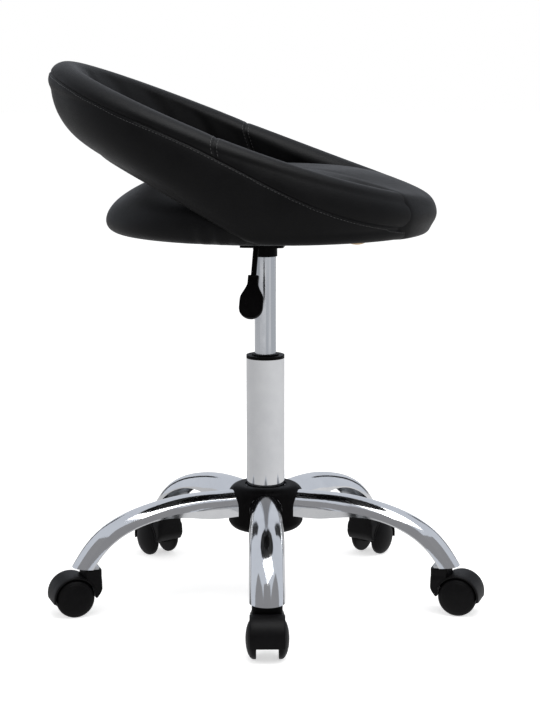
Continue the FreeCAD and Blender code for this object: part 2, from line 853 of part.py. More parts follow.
def hub_cover(upper):
    """Upper or lower half of the black hub cover with its five arched openings."""
    if upper:
        shell = cover_shell(cover_seam, cover_shoulder, cover_foot_radius, cover_top, cover_mouth_radius)
    else:
        shell = cover_shell(cover_seam, cover_foot_shoulder, cover_foot_radius, cover_foot,
                            cover_mouth_radius)
    for i in range(arm_count):
        shell = shell.cut(turned(arm_opening(), arm_angle(i)))
    return shell


def arm_angle(index):
    """Direction of an arm; the first points at the viewer."""
    return -90.0 + base_turn + index * 360.0 / arm_count


def stem_socket(room):
    """Steel sleeve on a plate that closes the end of an arm."""
    plate = box(90.0, 90.0, arm_end_height, arm_end_height + end_plate_thickness, stem_radius_on_base)
    sleeve = moved(disc(sleeve_diameter / 2.0, arm_end_height, stem_top + 6.0), stem_radius_on_base)
    inside = plate.fuse(sleeve).common(room)
    bore = moved(disc(stem_diameter / 2.0, arm_end_height, stem_top + 8.0), stem_radius_on_base)
    return inside.cut(bore)


def caster_stem():
    """Stem: a grip end up in the arm, a flange and the pin that the caster turns on."""
    grip = disc(stem_diameter / 2.0, arm_end_height, stem_top)
    grip = grip.makeChamfer(1.0, [edge for edge in grip.Edges if edge.BoundBox.ZMin > stem_top - 1.0])
    flange = disc(stem_flange_diameter / 2.0, arm_end_height - stem_flange_thickness, arm_end_height)
    pin = disc(stem_pin_diameter / 2.0, stem_pin_bottom, arm_end_height - stem_flange_thickness)
    return moved(grip.fuse(flange).fuse(pin).removeSplitter(), stem_radius_on_base)


# Casters, drawn with the stem on the column axis and trailing along +X
def hood_profile():
    """Side outline of the hood, closed, in the XZ plane."""
    back = -block_length / 2.0
    front = block_length / 2.0
    low = math.radians(hood_low_angle)
    outer = hood_outer_radius
    inner = hood_inner_radius
    axle = Vector(caster_trail, 0, wheel_radius)

    def on(radius, angle):
        return axle + Vector(math.cos(angle), 0, math.sin(angle)) * radius

    crest = math.radians(90.0)
    middle_out = (crest + low) / 2.0
    inner_end = math.radians(186.0)
    middle_in = (inner_end + low) / 2.0
    meeting = on(outer, crest)
    edges = [
        line(Vector(back, 0, hood_inner_end), Vector(back, 0, block_top)),
        line(Vector(back, 0, block_top), Vector(front, 0, block_top)),
        line(Vector(front, 0, block_top), meeting),
        arc(meeting, on(outer, middle_out), on(outer, low)),
        line(on(outer, low), on(inner, low)),
        arc(on(inner, low), on(inner, middle_in), on(inner, inner_end)),
        line(on(inner, inner_end), Vector(back, 0, hood_inner_end)),
    ]
    return Part.Face(Part.Wire(edges))


def caster_hood():
    """Moulded body: hood over both wheels, web between them and the block under the arm."""
    half = hood_width / 2.0
    hood = moved(hood_profile().extrude(Vector(0, hood_width, 0)), 0, -half)
    over_block = box(4.0 * block_length, hood_width, wheel_diameter + hood_clearance + hood_wall, block_top)
    narrow = rounded_box(block_length, block_width, hood_inner_end, block_top, block_corner)
    hood = hood.cut(over_block.cut(narrow))
    web = cross_cylinder(web_radius, wheel_gap / 2.0 - web_clearance, caster_trail, wheel_radius)
    web = web.cut(box(2.0 * wheel_diameter, hood_width, 0.0, web_floor_gap, caster_trail))
    link = box(block_length, wheel_gap - 2.0 * web_clearance, hood_inner_end - 8.0, block_top)
    ceiling = cross_cylinder(hood_inner_radius + 0.5, wheel_gap / 2.0 - web_clearance, caster_trail, wheel_radius)
    ceiling = ceiling.cut(box(2.0 * wheel_diameter, hood_width, -wheel_radius, wheel_radius, caster_trail))
    body = hood.fuse(link).fuse(ceiling).fuse(web)
    body = body.cut(disc(stem_pin_diameter / 2.0 + running_gap, stem_pin_bottom - 0.5, block_top + 1.0))
    body = body.cut(cross_cylinder(axle_diameter / 2.0, half, caster_trail, wheel_radius))
    return body.removeSplitter()


def caster_wheel(side):
    """Moulded wheel with a rounded shoulder and a shallow face, on one side of the web."""
    shape = Part.makeCylinder(wheel_radius, wheel_width, Vector(0, 0, 0), Vector(0, 1, 0))
    far = [edge for edge in shape.Edges if edge.BoundBox.YMin > wheel_width - 0.1]
    shape = shape.makeFillet(wheel_shoulder, far)
    face = Part.makeCylinder(wheel_face_radius, wheel_face_recess,
                             Vector(0, wheel_width - wheel_face_recess, 0), Vector(0, 1, 0))
    shape = shape.cut(face)
    bore = Part.makeCylinder(axle_diameter / 2.0 + running_gap, wheel_width - 4.0,
                             Vector(0, 0, 0), Vector(0, 1, 0))
    shape = shape.cut(bore)
    shape = moved(shape, caster_trail, wheel_gap / 2.0, wheel_radius)
    if side < 0:
        shape = shape.mirror(Vector(0, 0, 0), Vector(0, 1, 0))
    return shape


def caster_axle():
    """Steel axle through the web and both wheels."""
    half = wheel_gap / 2.0 + wheel_width - 4.2
    return cross_cylinder(axle_diameter / 2.0, half, caster_trail, wheel_radius)


def placed_caster(shape, index):
    """Put a caster piece under the end of an arm."""
    return turned(moved(shape, stem_radius_on_base), arm_angle(index))


def build_lift():
    """Write the gas lift."""
    save("outer_tube", outer_tube())
    save("guide_bush", guide_bush())
    save("gas_cylinder", seated(gas_cylinder()))
    save("rod_guide", seated(rod_guide()))
    save("piston_rod", piston_rod())
    save("piston", piston())
    save("bump_stop", bump_stop())
    save("lower_race", bearing_race(bearing_bottom))
    save("upper_race", bearing_race(bearing_top - race_thickness))
    save("bearing_balls", bearing_balls())
    save("base_washer", base_washer())
    save("retaining_clip", retaining_clip())
    save("valve_button", seated(valve_button()))


def build_seat():
    """Write the seat, its plate and the lever."""
    shell = backrest_shell()
    ring = backrest_ring(shell)
    save("backrest_shell", seated(shell))
    save("backrest_ring", seated(ring))
    save("seat_cushion", seated(seat_cushion(ring.fuse(shell))))
    save("seat_board", seated(seat_board()))
    save("plate_nuts", seated(plate_nuts()))
    save("under_cover", seated(under_cover()))
    save("mounting_plate", seated(mounting_plate()))
    save("plate_bolts", seated(plate_bolts()))
    save("lever_box", seated(lever_box()))
    save("taper_socket", seated(taper_socket()))
    save("lever_pivot_pin", levered(pivot_pin()))
    save("lever_rod", levered(lever_rod()))
    save("lever_paddle", levered(lever_paddle()))


def build_base():
    """Write the hub, its covers, the arms and their stems."""
    save("hub_socket", hub_socket())
    save("hub_cover_upper", hub_cover(True))
    save("hub_cover_lower", hub_cover(False))
    arm, room = arm_pieces()
    socket = stem_socket(room)
    stem = caster_stem()
    for i in range(arm_count):
        save("arm_%d" % (i + 1), turned(arm, arm_angle(i)))
    save("stem_sockets", Part.makeCompound([turned(socket, arm_angle(i)) for i in range(arm_count)]))
    save("caster_stems", Part.makeCompound([turned(stem, arm_angle(i)) for i in range(arm_count)]))


def build_casters():
    """Write the five casters."""
    hood = caster_hood()
    axle = caster_axle()
    left = caster_wheel(-1)
    right = caster_wheel(1)
    for i in range(arm_count):
        save("caster_%d_hood" % (i + 1), placed_caster(hood, i))
        save("caster_%d_axle" % (i + 1), placed_caster(axle, i))
        save("caster_%d_wheel_left" % (i + 1), placed_caster(left, i))
        save("caster_%d_wheel_right" % (i + 1), placed_caster(right, i))


os.makedirs("parts", exist_ok=True)
build_lift()
build_seat()
build_base()
build_casters()
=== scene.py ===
"""Rolling stylist stool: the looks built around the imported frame.

The seat's leather is sewn from numpy surfaces and puffed by a cloth simulation.
The rigid parts keep their CAD nodes and get procedural finishes, apart from those
that need softer edges, which are rebuilt in the same place. Lengths are in metres.
"""

from __future__ import annotations

import json
import logging
import math
from dataclasses import dataclass
from enum import Enum
from typing import Sequence

import bpy
import numpy as np
from mathutils import Matrix, Vector

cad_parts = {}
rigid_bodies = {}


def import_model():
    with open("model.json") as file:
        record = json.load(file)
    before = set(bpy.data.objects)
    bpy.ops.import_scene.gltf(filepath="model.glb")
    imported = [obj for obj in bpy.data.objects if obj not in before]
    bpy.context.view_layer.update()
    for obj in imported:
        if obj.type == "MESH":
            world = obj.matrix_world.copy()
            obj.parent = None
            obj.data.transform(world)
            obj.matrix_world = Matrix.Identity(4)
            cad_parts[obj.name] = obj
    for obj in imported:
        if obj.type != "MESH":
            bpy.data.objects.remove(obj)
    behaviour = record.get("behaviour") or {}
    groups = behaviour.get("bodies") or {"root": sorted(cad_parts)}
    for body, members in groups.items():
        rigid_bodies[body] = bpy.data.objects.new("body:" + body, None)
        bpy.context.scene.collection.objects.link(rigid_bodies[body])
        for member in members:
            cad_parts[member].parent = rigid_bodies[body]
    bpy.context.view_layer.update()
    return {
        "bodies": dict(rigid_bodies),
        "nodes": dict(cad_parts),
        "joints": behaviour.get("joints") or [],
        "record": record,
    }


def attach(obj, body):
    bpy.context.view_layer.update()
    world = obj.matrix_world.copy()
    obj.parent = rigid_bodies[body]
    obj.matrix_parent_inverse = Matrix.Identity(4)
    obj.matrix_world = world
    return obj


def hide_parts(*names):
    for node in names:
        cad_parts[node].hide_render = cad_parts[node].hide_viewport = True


LOG = logging.getLogger("stool")
SEAT_BODY = "seat"
SEAT_TURN = math.radians(-5.5)
ARM_COUNT = 5


class Slot(Enum):
    """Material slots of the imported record."""

    LEATHER = "black_leather"
    PLASTIC = "black_plastic"
    CASTER = "caster_plastic"
    CHROME = "chrome"
    LIFT = "lift_steel"
    ZINC = "zinc_steel"
    BLACK_STEEL = "black_steel"
    BOARD = "board"
    CLOTH = "cloth"
    RUBBER = "rubber"


# Materials


class Nodes:
    """Short way to write a node tree."""

    def __init__(self, name: str) -> None:
        """Start an empty material.

        Args:
            name: name of the Blender material.
        """
        self.material = bpy.data.materials.new(name)
        self.material.use_nodes = True
        self.tree = self.material.node_tree
        self.tree.nodes.clear()
        self.shader = self.tree.nodes.new("ShaderNodeBsdfPrincipled")
        self.out = self.tree.nodes.new("ShaderNodeOutputMaterial")
        self.surface(self.shader)
        coords = self.tree.nodes.new("ShaderNodeTexCoord")
        self.point = coords.outputs["Object"]

    def add(self, kind: str, inputs: dict, **settings: object) -> bpy.types.Node:
        """Add a node.

        Args:
            kind: Blender's node type.
            inputs: socket name or index, and a value or an output to link.
            settings: attributes of the node.

        Returns:
            The new node.
        """
        node = self.tree.nodes.new(kind)
        for key, value in settings.items():
            setattr(node, key, value)
        for key, value in inputs.items():
            self.feed(node.inputs[key], value)
        return node

    def feed(self, socket: bpy.types.NodeSocket, value: object) -> None:
        """Link an output to a socket, or set the socket's own value.

        Args:
            socket: input socket.
            value: output socket, number or colour.
        """
        if isinstance(value, bpy.types.NodeSocket):
            self.tree.links.new(value, socket)
        else:
            socket.default_value = value

    def noise(self, scale: float, detail: float = 4.0, rough: float = 0.55,
              vector: bpy.types.NodeSocket | None = None) -> bpy.types.NodeSocket:
        """Noise texture's value output."""
        inputs = {"Vector": vector or self.point, "Scale": scale, "Detail": detail, "Roughness": rough}
        return self.add("ShaderNodeTexNoise", inputs).outputs[0]

    def cells(self, scale: float, feature: str = "F1",
              vector: bpy.types.NodeSocket | None = None) -> bpy.types.NodeSocket:
        """Voronoi texture's distance."""
        inputs = {"Vector": vector or self.point, "Scale": scale}
        return self.add("ShaderNodeTexVoronoi", inputs, feature=feature).outputs["Distance"]

    def spread(self, value: object, low: float, high: float, to_low: float = 0.0,
               to_high: float = 1.0) -> bpy.types.NodeSocket:
        """Map a value from one range to another, clamped."""
        inputs = {"Value": value, "From Min": low, "From Max": high, "To Min": to_low, "To Max": to_high}
        return self.add("ShaderNodeMapRange", inputs).outputs[0]

    def math(self, operation: str, a: object, b: object = 0.0) -> bpy.types.NodeSocket:
        """One math operation."""
        return self.add("ShaderNodeMath", {0: a, 1: b}, operation=operation).outputs[0]

    def blend(self, share: object, first: Sequence[float], second: Sequence[float]) -> bpy.types.NodeSocket:
        """Mix two colours by a value.

        Args:
            share: value from 0 to 1.
            first: colour at 0.
            second: colour at 1.

        Returns:
            The mixed colour's output.
        """
        node = self.add("ShaderNodeMix", {}, data_type="RGBA")
        self.feed(node.inputs[0], share)
        self.feed(node.inputs[6], tuple(first) + (1.0,))
        self.feed(node.inputs[7], tuple(second) + (1.0,))
        return node.outputs[2]

    def bump(self, height: object, strength: float, distance: float,
             normal: bpy.types.NodeSocket | None = None) -> bpy.types.NodeSocket:
        """Bump from a height.

        Args:
            height: height's output.
            strength: share of the effect.
            distance: metres that a height of 1 stands for.
            normal: normal to start from.

        Returns:
            The normal's output.
        """
        inputs = {"Height": height, "Strength": strength, "Distance": distance}
        if normal is not None:
            inputs["Normal"] = normal
        return self.add("ShaderNodeBump", inputs).outputs[0]

    def surface(self, shader: bpy.types.Node) -> None:
        """Show another shader's first output instead of the plain one."""
        self.tree.links.new(shader.outputs[0], self.out.inputs["Surface"])

    def finish(self, **sockets: object) -> bpy.types.Material:
        """Set the shader's sockets.

        Args:
            sockets: socket names with underscores for spaces.

        Returns:
            The material.
        """
        for key, value in sockets.items():
            self.feed(self.shader.inputs[key.replace("_", " ")], value)
        return self.material


@dataclass(frozen=True)
class Leather:
    """Soft black coated leather with a fine pebbled grain."""

    name: str = "leather"
    dark: tuple = (0.0022, 0.0022, 0.0024)
    light: tuple = (0.0042, 0.0042, 0.0045)
    grain: float = 900.0
    roughness: float = 0.4
    grain_depth: float = 0.00012
    pore_edge: float = 0.32
    fine: float = 2600.0
    drift_scale: float = 260.0
    drift: float = 0.0016
    tone: float = 22.0
    wrinkles: float = 70.0
    wrinkle_depth: float = 0.0012
    shine: float = 0.13

    def build(self) -> bpy.types.Material:
        """Return the material.

        Returns:
            The material.
        """
        n = Nodes(self.name)
        warp = n.add("ShaderNodeVectorMath", {0: n.point}, operation="ADD")
        drift = n.add("ShaderNodeTexNoise", {"Vector": n.point, "Scale": self.drift_scale, "Detail": 2.0})
        shift = n.add("ShaderNodeVectorMath", {0: drift.outputs["Color"], 3: self.drift}, operation="SCALE")
        n.feed(warp.inputs[1], shift.outputs[0])
        pores = n.cells(self.grain, "DISTANCE_TO_EDGE", warp.outputs[0])
        pebble = n.spread(pores, 0.0, self.pore_edge)
        fine = n.noise(self.fine, 3.0)
        height = n.math("ADD", n.math("MULTIPLY", pebble, 0.8), n.math("MULTIPLY", fine, 0.2))
        broad = n.noise(self.tone, 5.0)
        wrinkle = n.bump(n.noise(self.wrinkles, 3.0, 0.45), 0.1, self.wrinkle_depth)
        normal = n.bump(height, 0.55, self.grain_depth, wrinkle)
        rough = n.math("ADD", n.spread(broad, 0.3, 0.7, self.roughness - 0.04, self.roughness + 0.05),
                       n.math("MULTIPLY", n.math("SUBTRACT", 1.0, pebble), 0.08))
        colour = n.blend(n.spread(broad, 0.3, 0.72), self.dark, self.light)
        return n.finish(Base_Color=colour, Roughness=rough, Normal=normal,
                        Specular_IOR_Level=self.shine, Sheen_Weight=0.02, Sheen_Roughness=0.4)


@dataclass(frozen=True)
class Thread:
    """Twisted sewing thread."""

    name: str = "thread"
    colour: tuple = (0.009, 0.009, 0.0095)
    strands: float = 900.0
    tone: float = 500.0

    def build(self) -> bpy.types.Material:
        """Return the material.

        Returns:
            The material.
        """
        n = Nodes(self.name)
        strands = n.add("ShaderNodeTexWave", {"Vector": n.point, "Scale": self.strands, "Distortion": 1.5})
        tone = n.blend(n.noise(self.tone, 2.0), self.colour, tuple(c * 1.9 for c in self.colour))
        return n.finish(Base_Color=tone, Roughness=0.5, Normal=n.bump(strands.outputs[1], 0.4, 0.0002),
                        Sheen_Weight=0.2)


@dataclass(frozen=True)
class Plastic:
    """Moulded plastic with a fine spark-eroded texture."""

    name: str
    dark: tuple = (0.0024, 0.0022, 0.0024)
    light: tuple = (0.0046, 0.0043, 0.0046)
    roughness: float = 0.42
    texture: float = 1500.0
    depth: float = 0.00006
    shine: float = 0.12
    tone: float = 18.0
    dust: float = 160.0

    def build(self) -> bpy.types.Material:
        """Return the material.

        Returns:
            The material.
        """
        n = Nodes(self.name)
        grain = n.noise(self.texture, 3.0)
        broad = n.noise(self.tone, 4.0)
        dust = n.noise(self.dust, 6.0, 0.7)
        rough = n.math("ADD", n.spread(broad, 0.3, 0.7, self.roughness - 0.05, self.roughness + 0.05),
                       n.spread(dust, 0.5, 0.75, 0.0, 0.07))
        colour = n.blend(n.spread(dust, 0.35, 0.75), self.dark, self.light)
        return n.finish(Base_Color=colour, Roughness=rough, Normal=n.bump(grain, 0.5, self.depth),
                        Specular_IOR_Level=self.shine)


@dataclass(frozen=True)
class Metal:
    """Plated or machined metal with faint polishing marks and smears; where the streak share is set, dark
    lengthwise streaks of painted reflection are mixed into its colour.
    """

    name: str
    colour: tuple = (0.83, 0.84, 0.85)
    # colour that smears (wear) and the painted reflection streaks darken the metal towards
    worn_and_reflection_colour: tuple = (0.74, 0.75, 0.77)
    roughness: float = 0.07
    spread: float = 0.05
    marks: float = 0.02
    # share of painted dark reflection streaks along the length in the colour; 0 leaves none
    lengthways: tuple = (60.0, 60.0, 1400.0)
    painted_reflection_streaks: float = 0.0
    smears: float = 26.0

    def build(self) -> bpy.types.Material:
        """Return the material.

        Returns:
            The material.
        """
        n = Nodes(self.name)
        stretch = n.add("ShaderNodeMapping", {"Vector": n.point, "Scale": self.lengthways})
        lines = n.noise(1.0, 3.0, 0.5, stretch.outputs[0])
        smear = n.noise(self.smears, 5.0, 0.6)
        rough = n.math("ADD", n.spread(smear, 0.42, 0.75, self.roughness, self.roughness + self.spread),
                       n.math("MULTIPLY", lines, self.spread * 0.4))
        # darker where smeared, and along the lengthwise lines as painted reflection streaks where the streak
        # share is set
        share = n.math("MAXIMUM", n.spread(smear, 0.35, 0.8), n.spread(lines, 0.44, 0.62, 0.0, self.painted_reflection_streaks))
        colour = n.blend(share, self.colour, self.worn_and_reflection_colour)
        return n.finish(Base_Color=colour, Metallic=1.0, Roughness=rough,
                        Normal=n.bump(lines, self.marks, 0.0002))


@dataclass(frozen=True)
class Ply:
    """Bent plywood with layered grain."""

    name: str = "ply"
    dark: tuple = (0.42, 0.27, 0.14)
    light: tuple = (0.62, 0.45, 0.27)
    lengthways: tuple = (9.0, 90.0, 90.0)
    layers: float = 210.0

    def build(self) -> bpy.types.Material:
        """Return the material.

        Returns:
            The material.
        """
        n = Nodes(self.name)
        stretch = n.add("ShaderNodeMapping", {"Vector": n.point, "Scale": self.lengthways})
        grain = n.noise(3.0, 8.0, 0.6, stretch.outputs[0])
        layers = n.add("ShaderNodeTexWave", {"Vector": n.point, "Scale": self.layers, "Distortion": 0.4},
                       bands_direction="Z").outputs[1]
        share = n.math("ADD", n.math("MULTIPLY", grain, 0.7), n.math("MULTIPLY", layers, 0.3))
        colour = n.blend(n.spread(share, 0.25, 0.75), self.dark, self.light)
        return n.finish(Base_Color=colour, Roughness=n.spread(grain, 0.2, 0.8, 0.55, 0.75),
                        Normal=n.bump(share, 0.3, 0.0005))


@dataclass(frozen=True)
class Felt:
    """Thin spun cloth under the seat."""

    name: str = "felt"
    dark: tuple = (0.006, 0.006, 0.0065)
    light: tuple = (0.016, 0.016, 0.017)
    dots: float = 420.0
    fibres: float = 1900.0

    def build(self) -> bpy.types.Material:
        """Return the material.

        Returns:
            The material.
        """
        n = Nodes(self.name)
        dots = n.spread(n.cells(self.dots), 0.0, 0.45)
        fibres = n.noise(self.fibres, 5.0, 0.7)
        height = n.math("ADD", n.math("MULTIPLY", dots, 0.6), n.math("MULTIPLY", fibres, 0.4))
        colour = n.blend(height, self.dark, self.light)
        return n.finish(Base_Color=colour, Roughness=n.spread(fibres, 0.2, 0.8, 0.85, 0.97),
                        Normal=n.bump(height, 0.7, 0.0004), Sheen_Weight=0.3, Sheen_Roughness=0.5)


@dataclass(frozen=True)
class Rubber:
    """Dull black rubber."""

    name: str = "rubber"
    dark: tuple = (0.008, 0.008, 0.008)
    light: tuple = (0.016, 0.016, 0.016)
    grain: float = 900.0
    tone: float = 40.0

    def build(self) -> bpy.types.Material:
        """Return the material.

        Returns:
            The material.
        """
        n = Nodes(self.name)
        grain = n.noise(self.grain, 4.0)
        colour = n.blend(n.noise(self.tone, 3.0), self.dark, self.light)
        return n.finish(Base_Color=colour, Roughness=n.spread(grain, 0.2, 0.8, 0.7, 0.85),
                        Normal=n.bump(grain, 0.4, 0.0001))


class Palette:
    """All finishes, by record slot."""

    def __init__(self) -> None:
        """Build each material once."""
        self.thread = Thread().build()
        self.slots = {
            Slot.LEATHER: Leather().build(),
            Slot.PLASTIC: Plastic("plastic", roughness=0.4, shine=0.035).build(),
            Slot.CASTER: Plastic("caster_plastic", roughness=0.44, texture=1100.0, depth=0.00009).build(),
            Slot.CHROME: Metal("chrome").build(),
            # the gas lift's darker colour and strong lengthwise streaks are painted reflections of its
            # surroundings, together with smears
            Slot.LIFT: Metal("lift_steel", (0.83, 0.85, 0.88), (0.45, 0.48, 0.52), 0.14, 0.06, 0.03,
                                   (130.0, 130.0, 1.5), 0.9).build(),
            Slot.ZINC: Metal("zinc_steel", (0.6, 0.61, 0.62), (0.44, 0.45, 0.46), 0.3, 0.14, 0.08).build(),
            Slot.BLACK_STEEL: Plastic("black_steel", roughness=0.36, texture=700.0, depth=0.00004,
                                      shine=0.03).build(),
            Slot.BOARD: Ply().build(),
            Slot.CLOTH: Felt().build(),
            Slot.RUBBER: Rubber().build(),
        }

    def __getitem__(self, slot: Slot) -> bpy.types.Material:
        """Return a slot's material."""
        return self.slots[slot]


# Meshes from grids of points


def smoothstep(x: np.ndarray) -> np.ndarray:
    """Ease from 0 to 1: three times the square less twice the cube."""
    x = np.clip(x, 0.0, 1.0)
    return x * x * (3.0 - 2.0 * x)


def unit(v: np.ndarray) -> np.ndarray:
    """Divide vectors by their lengths."""
    return v / np.maximum(np.linalg.norm(v, axis=-1, keepdims=True), 1e-12)


def full_turn(count: int) -> np.ndarray:
    """Equal steps of angle from 0, short of a full turn by one step."""
    return np.linspace(0.0, 2.0 * math.pi, count, endpoint=False)


def signed_power(x: np.ndarray, power: float) -> np.ndarray:
    """Raise sizes to a power and keep the signs."""
    return np.sign(x) * np.abs(x) ** power


def turn_z(points: np.ndarray, angle: float) -> np.ndarray:
    """Turn points about the upright axis.

    Args:
        points: points on the last axis.
        angle: radians from X to Y.

    Returns:
        The turned points.
    """
    c, s = math.cos(angle), math.sin(angle)
    x, y = points[..., 0].copy(), points[..., 1].copy()
    return np.stack([c * x - s * y, s * x + c * y, points[..., 2]], -1)


def grid_faces(rows: int, columns: int, wrap_rows: bool, wrap_columns: bool) -> np.ndarray:
    """Quads of a grid of rows by columns.

    Args:
        rows: number of rows.
        columns: number of columns.
        wrap_rows: join the last row to the first.
        wrap_columns: join the last column to the first.

    Returns:
        Array of quads.
    """
    i = np.arange(rows if wrap_rows else rows - 1)
    j = np.arange(columns if wrap_columns else columns - 1)
    a, b = np.meshgrid(i, j, indexing="ij")
    c, d = (a + 1) % rows, (b + 1) % columns
    return np.stack([a * columns + b, c * columns + b, c * columns + d, a * columns + d], -1).reshape(-1, 4)


def mesh_object(name: str, points: np.ndarray, faces: np.ndarray, material: bpy.types.Material,
                extra: Sequence[Sequence[int]] = ()) -> bpy.types.Object:
    """Make a smooth shaded mesh object.

    Args:
        name: object name.
        points: vertices.
        faces: array of equal sized faces.
        material: its material.
        extra: further faces of any size.

    Returns:
        The object, linked to the scene.
    """
    mesh = bpy.data.meshes.new(name)
    mesh.from_pydata(points.reshape(-1, 3).astype(float), [], [*faces.tolist(), *extra])
    mesh.update()
    mesh.shade_smooth()
    mesh.materials.append(material)
    made = bpy.data.objects.new(name, mesh)
    bpy.context.scene.collection.objects.link(made)
    return made


def belongs(piece: bpy.types.Object, body: str, node: str = "") -> None:
    """Tie a piece to its body and, where one is named, hide the CAD node it stands for.

    Args:
        piece: the piece.
        body: body that it moves with.
        node: CAD node that it stands for.
    """
    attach(piece, body)
    if node:
        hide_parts(node)
    LOG.info("%s: %d faces, moves with %s", piece.name, len(piece.data.polygons), body)


def read_points(source: bpy.types.Object) -> np.ndarray:
    """Vertices of an object's mesh.

    Args:
        source: the object.

    Returns:
        Its vertices.
    """
    flat = np.empty(len(source.data.vertices) * 3, np.float32)
    source.data.vertices.foreach_get("co", flat)
    return flat.reshape(-1, 3).astype(float)


def spline(control: np.ndarray, t: np.ndarray) -> np.ndarray:
    """Clamped uniform cubic B-spline.

    Args:
        control: control points on the second to last axis.
        t: places from 0 to 1.

    Returns:
        Points, with the places on the second to last axis.
    """
    count = control.shape[-2]
    padded = np.concatenate([control[..., :1, :], control[..., :1, :], control,
                             control[..., -1:, :], control[..., -1:, :]], -2)
    x = np.clip(t, 0.0, 1.0) * (count + 1)
    k = np.minimum(x.astype(int), count)
    f = (x - k)[:, None]
    weights = [(1 - f) ** 3 / 6, (3 * f ** 3 - 6 * f ** 2 + 4) / 6,
               (-3 * f ** 3 + 3 * f ** 2 + 3 * f + 1) / 6, f ** 3 / 6]
    return sum(w * padded[..., k + n, :] for n, w in enumerate(weights))


def resample(field: np.ndarray, rows: np.ndarray, columns: np.ndarray, wrap_rows: bool,
             wrap_columns: bool) -> np.ndarray:
    """Smoothly read a grid at fractional rows and columns.

    Args:
        field: grid of vectors.
        rows: fractional row places.
        columns: fractional column places.
        wrap_rows: the rows close on themselves.
        wrap_columns: the columns close on themselves.

    Returns:
        The grid of vectors at those places.
    """

    def along(data: np.ndarray, places: np.ndarray, wrap: bool) -> np.ndarray:
        """Read the first axis by the cubic weights of the four nearest entries.

        Args:
            data: grid of vectors.
            places: fractional places.
            wrap: the axis closes on itself.

        Returns:
            The vectors at those places.
        """
        size = data.shape[0]
        base = np.floor(places).astype(int)
        f = (places - base)[:, None, None]
        total = 0.0
        kernel = [(-f ** 3 + 2 * f ** 2 - f) / 2, (3 * f ** 3 - 5 * f ** 2 + 2) / 2,
                  (-3 * f ** 3 + 4 * f ** 2 + f) / 2, (f ** 3 - f ** 2) / 2]
        for n, weight in enumerate(kernel):
            index = base + n - 1
            index = index % size if wrap else np.clip(index, 0, size - 1)
            total = total + weight * data[index]
        return total

    down = along(field, rows, wrap_rows)
    return along(down.transpose(1, 0, 2), columns, wrap_columns).transpose(1, 0, 2)


# Seat


@dataclass(frozen=True)
class RingSizes:
    """Sizes of the tilted padded ring, in metres."""

    top_centre: float = -0.039
    top_rear: float = 0.217
    top_front: float = 0.238
    top_side: float = 0.1755
    top_middle: float = 0.602
    top_rise: float = 0.0835
    top_flattening: float = 0.002
    top_roll: float = 0.0218
    roll_change: float = 0.0016
    low_centre: float = -0.0015
    low_length: float = 0.204
    low_side: float = 0.1795
    low_height: float = 0.498
    low_roll: float = 0.014
    lift_off: float = -0.008
    lift_slope: float = 0.66
    lift_sag: float = 0.65
    lift_softness: float = 0.018
    bulge: float = 0.0098
    bulge_change: float = 0.0036
    end_angle: float = math.radians(153.0)
    end_slant: float = math.radians(6.0)
    cross_angle: float = math.radians(88.5)
    cross_slant: float = math.radians(3.0)
    low_change: float = 1.25
    seam: tuple = (0.277, -0.923, 0.109, -0.141, -0.008, -0.023, 0.052)


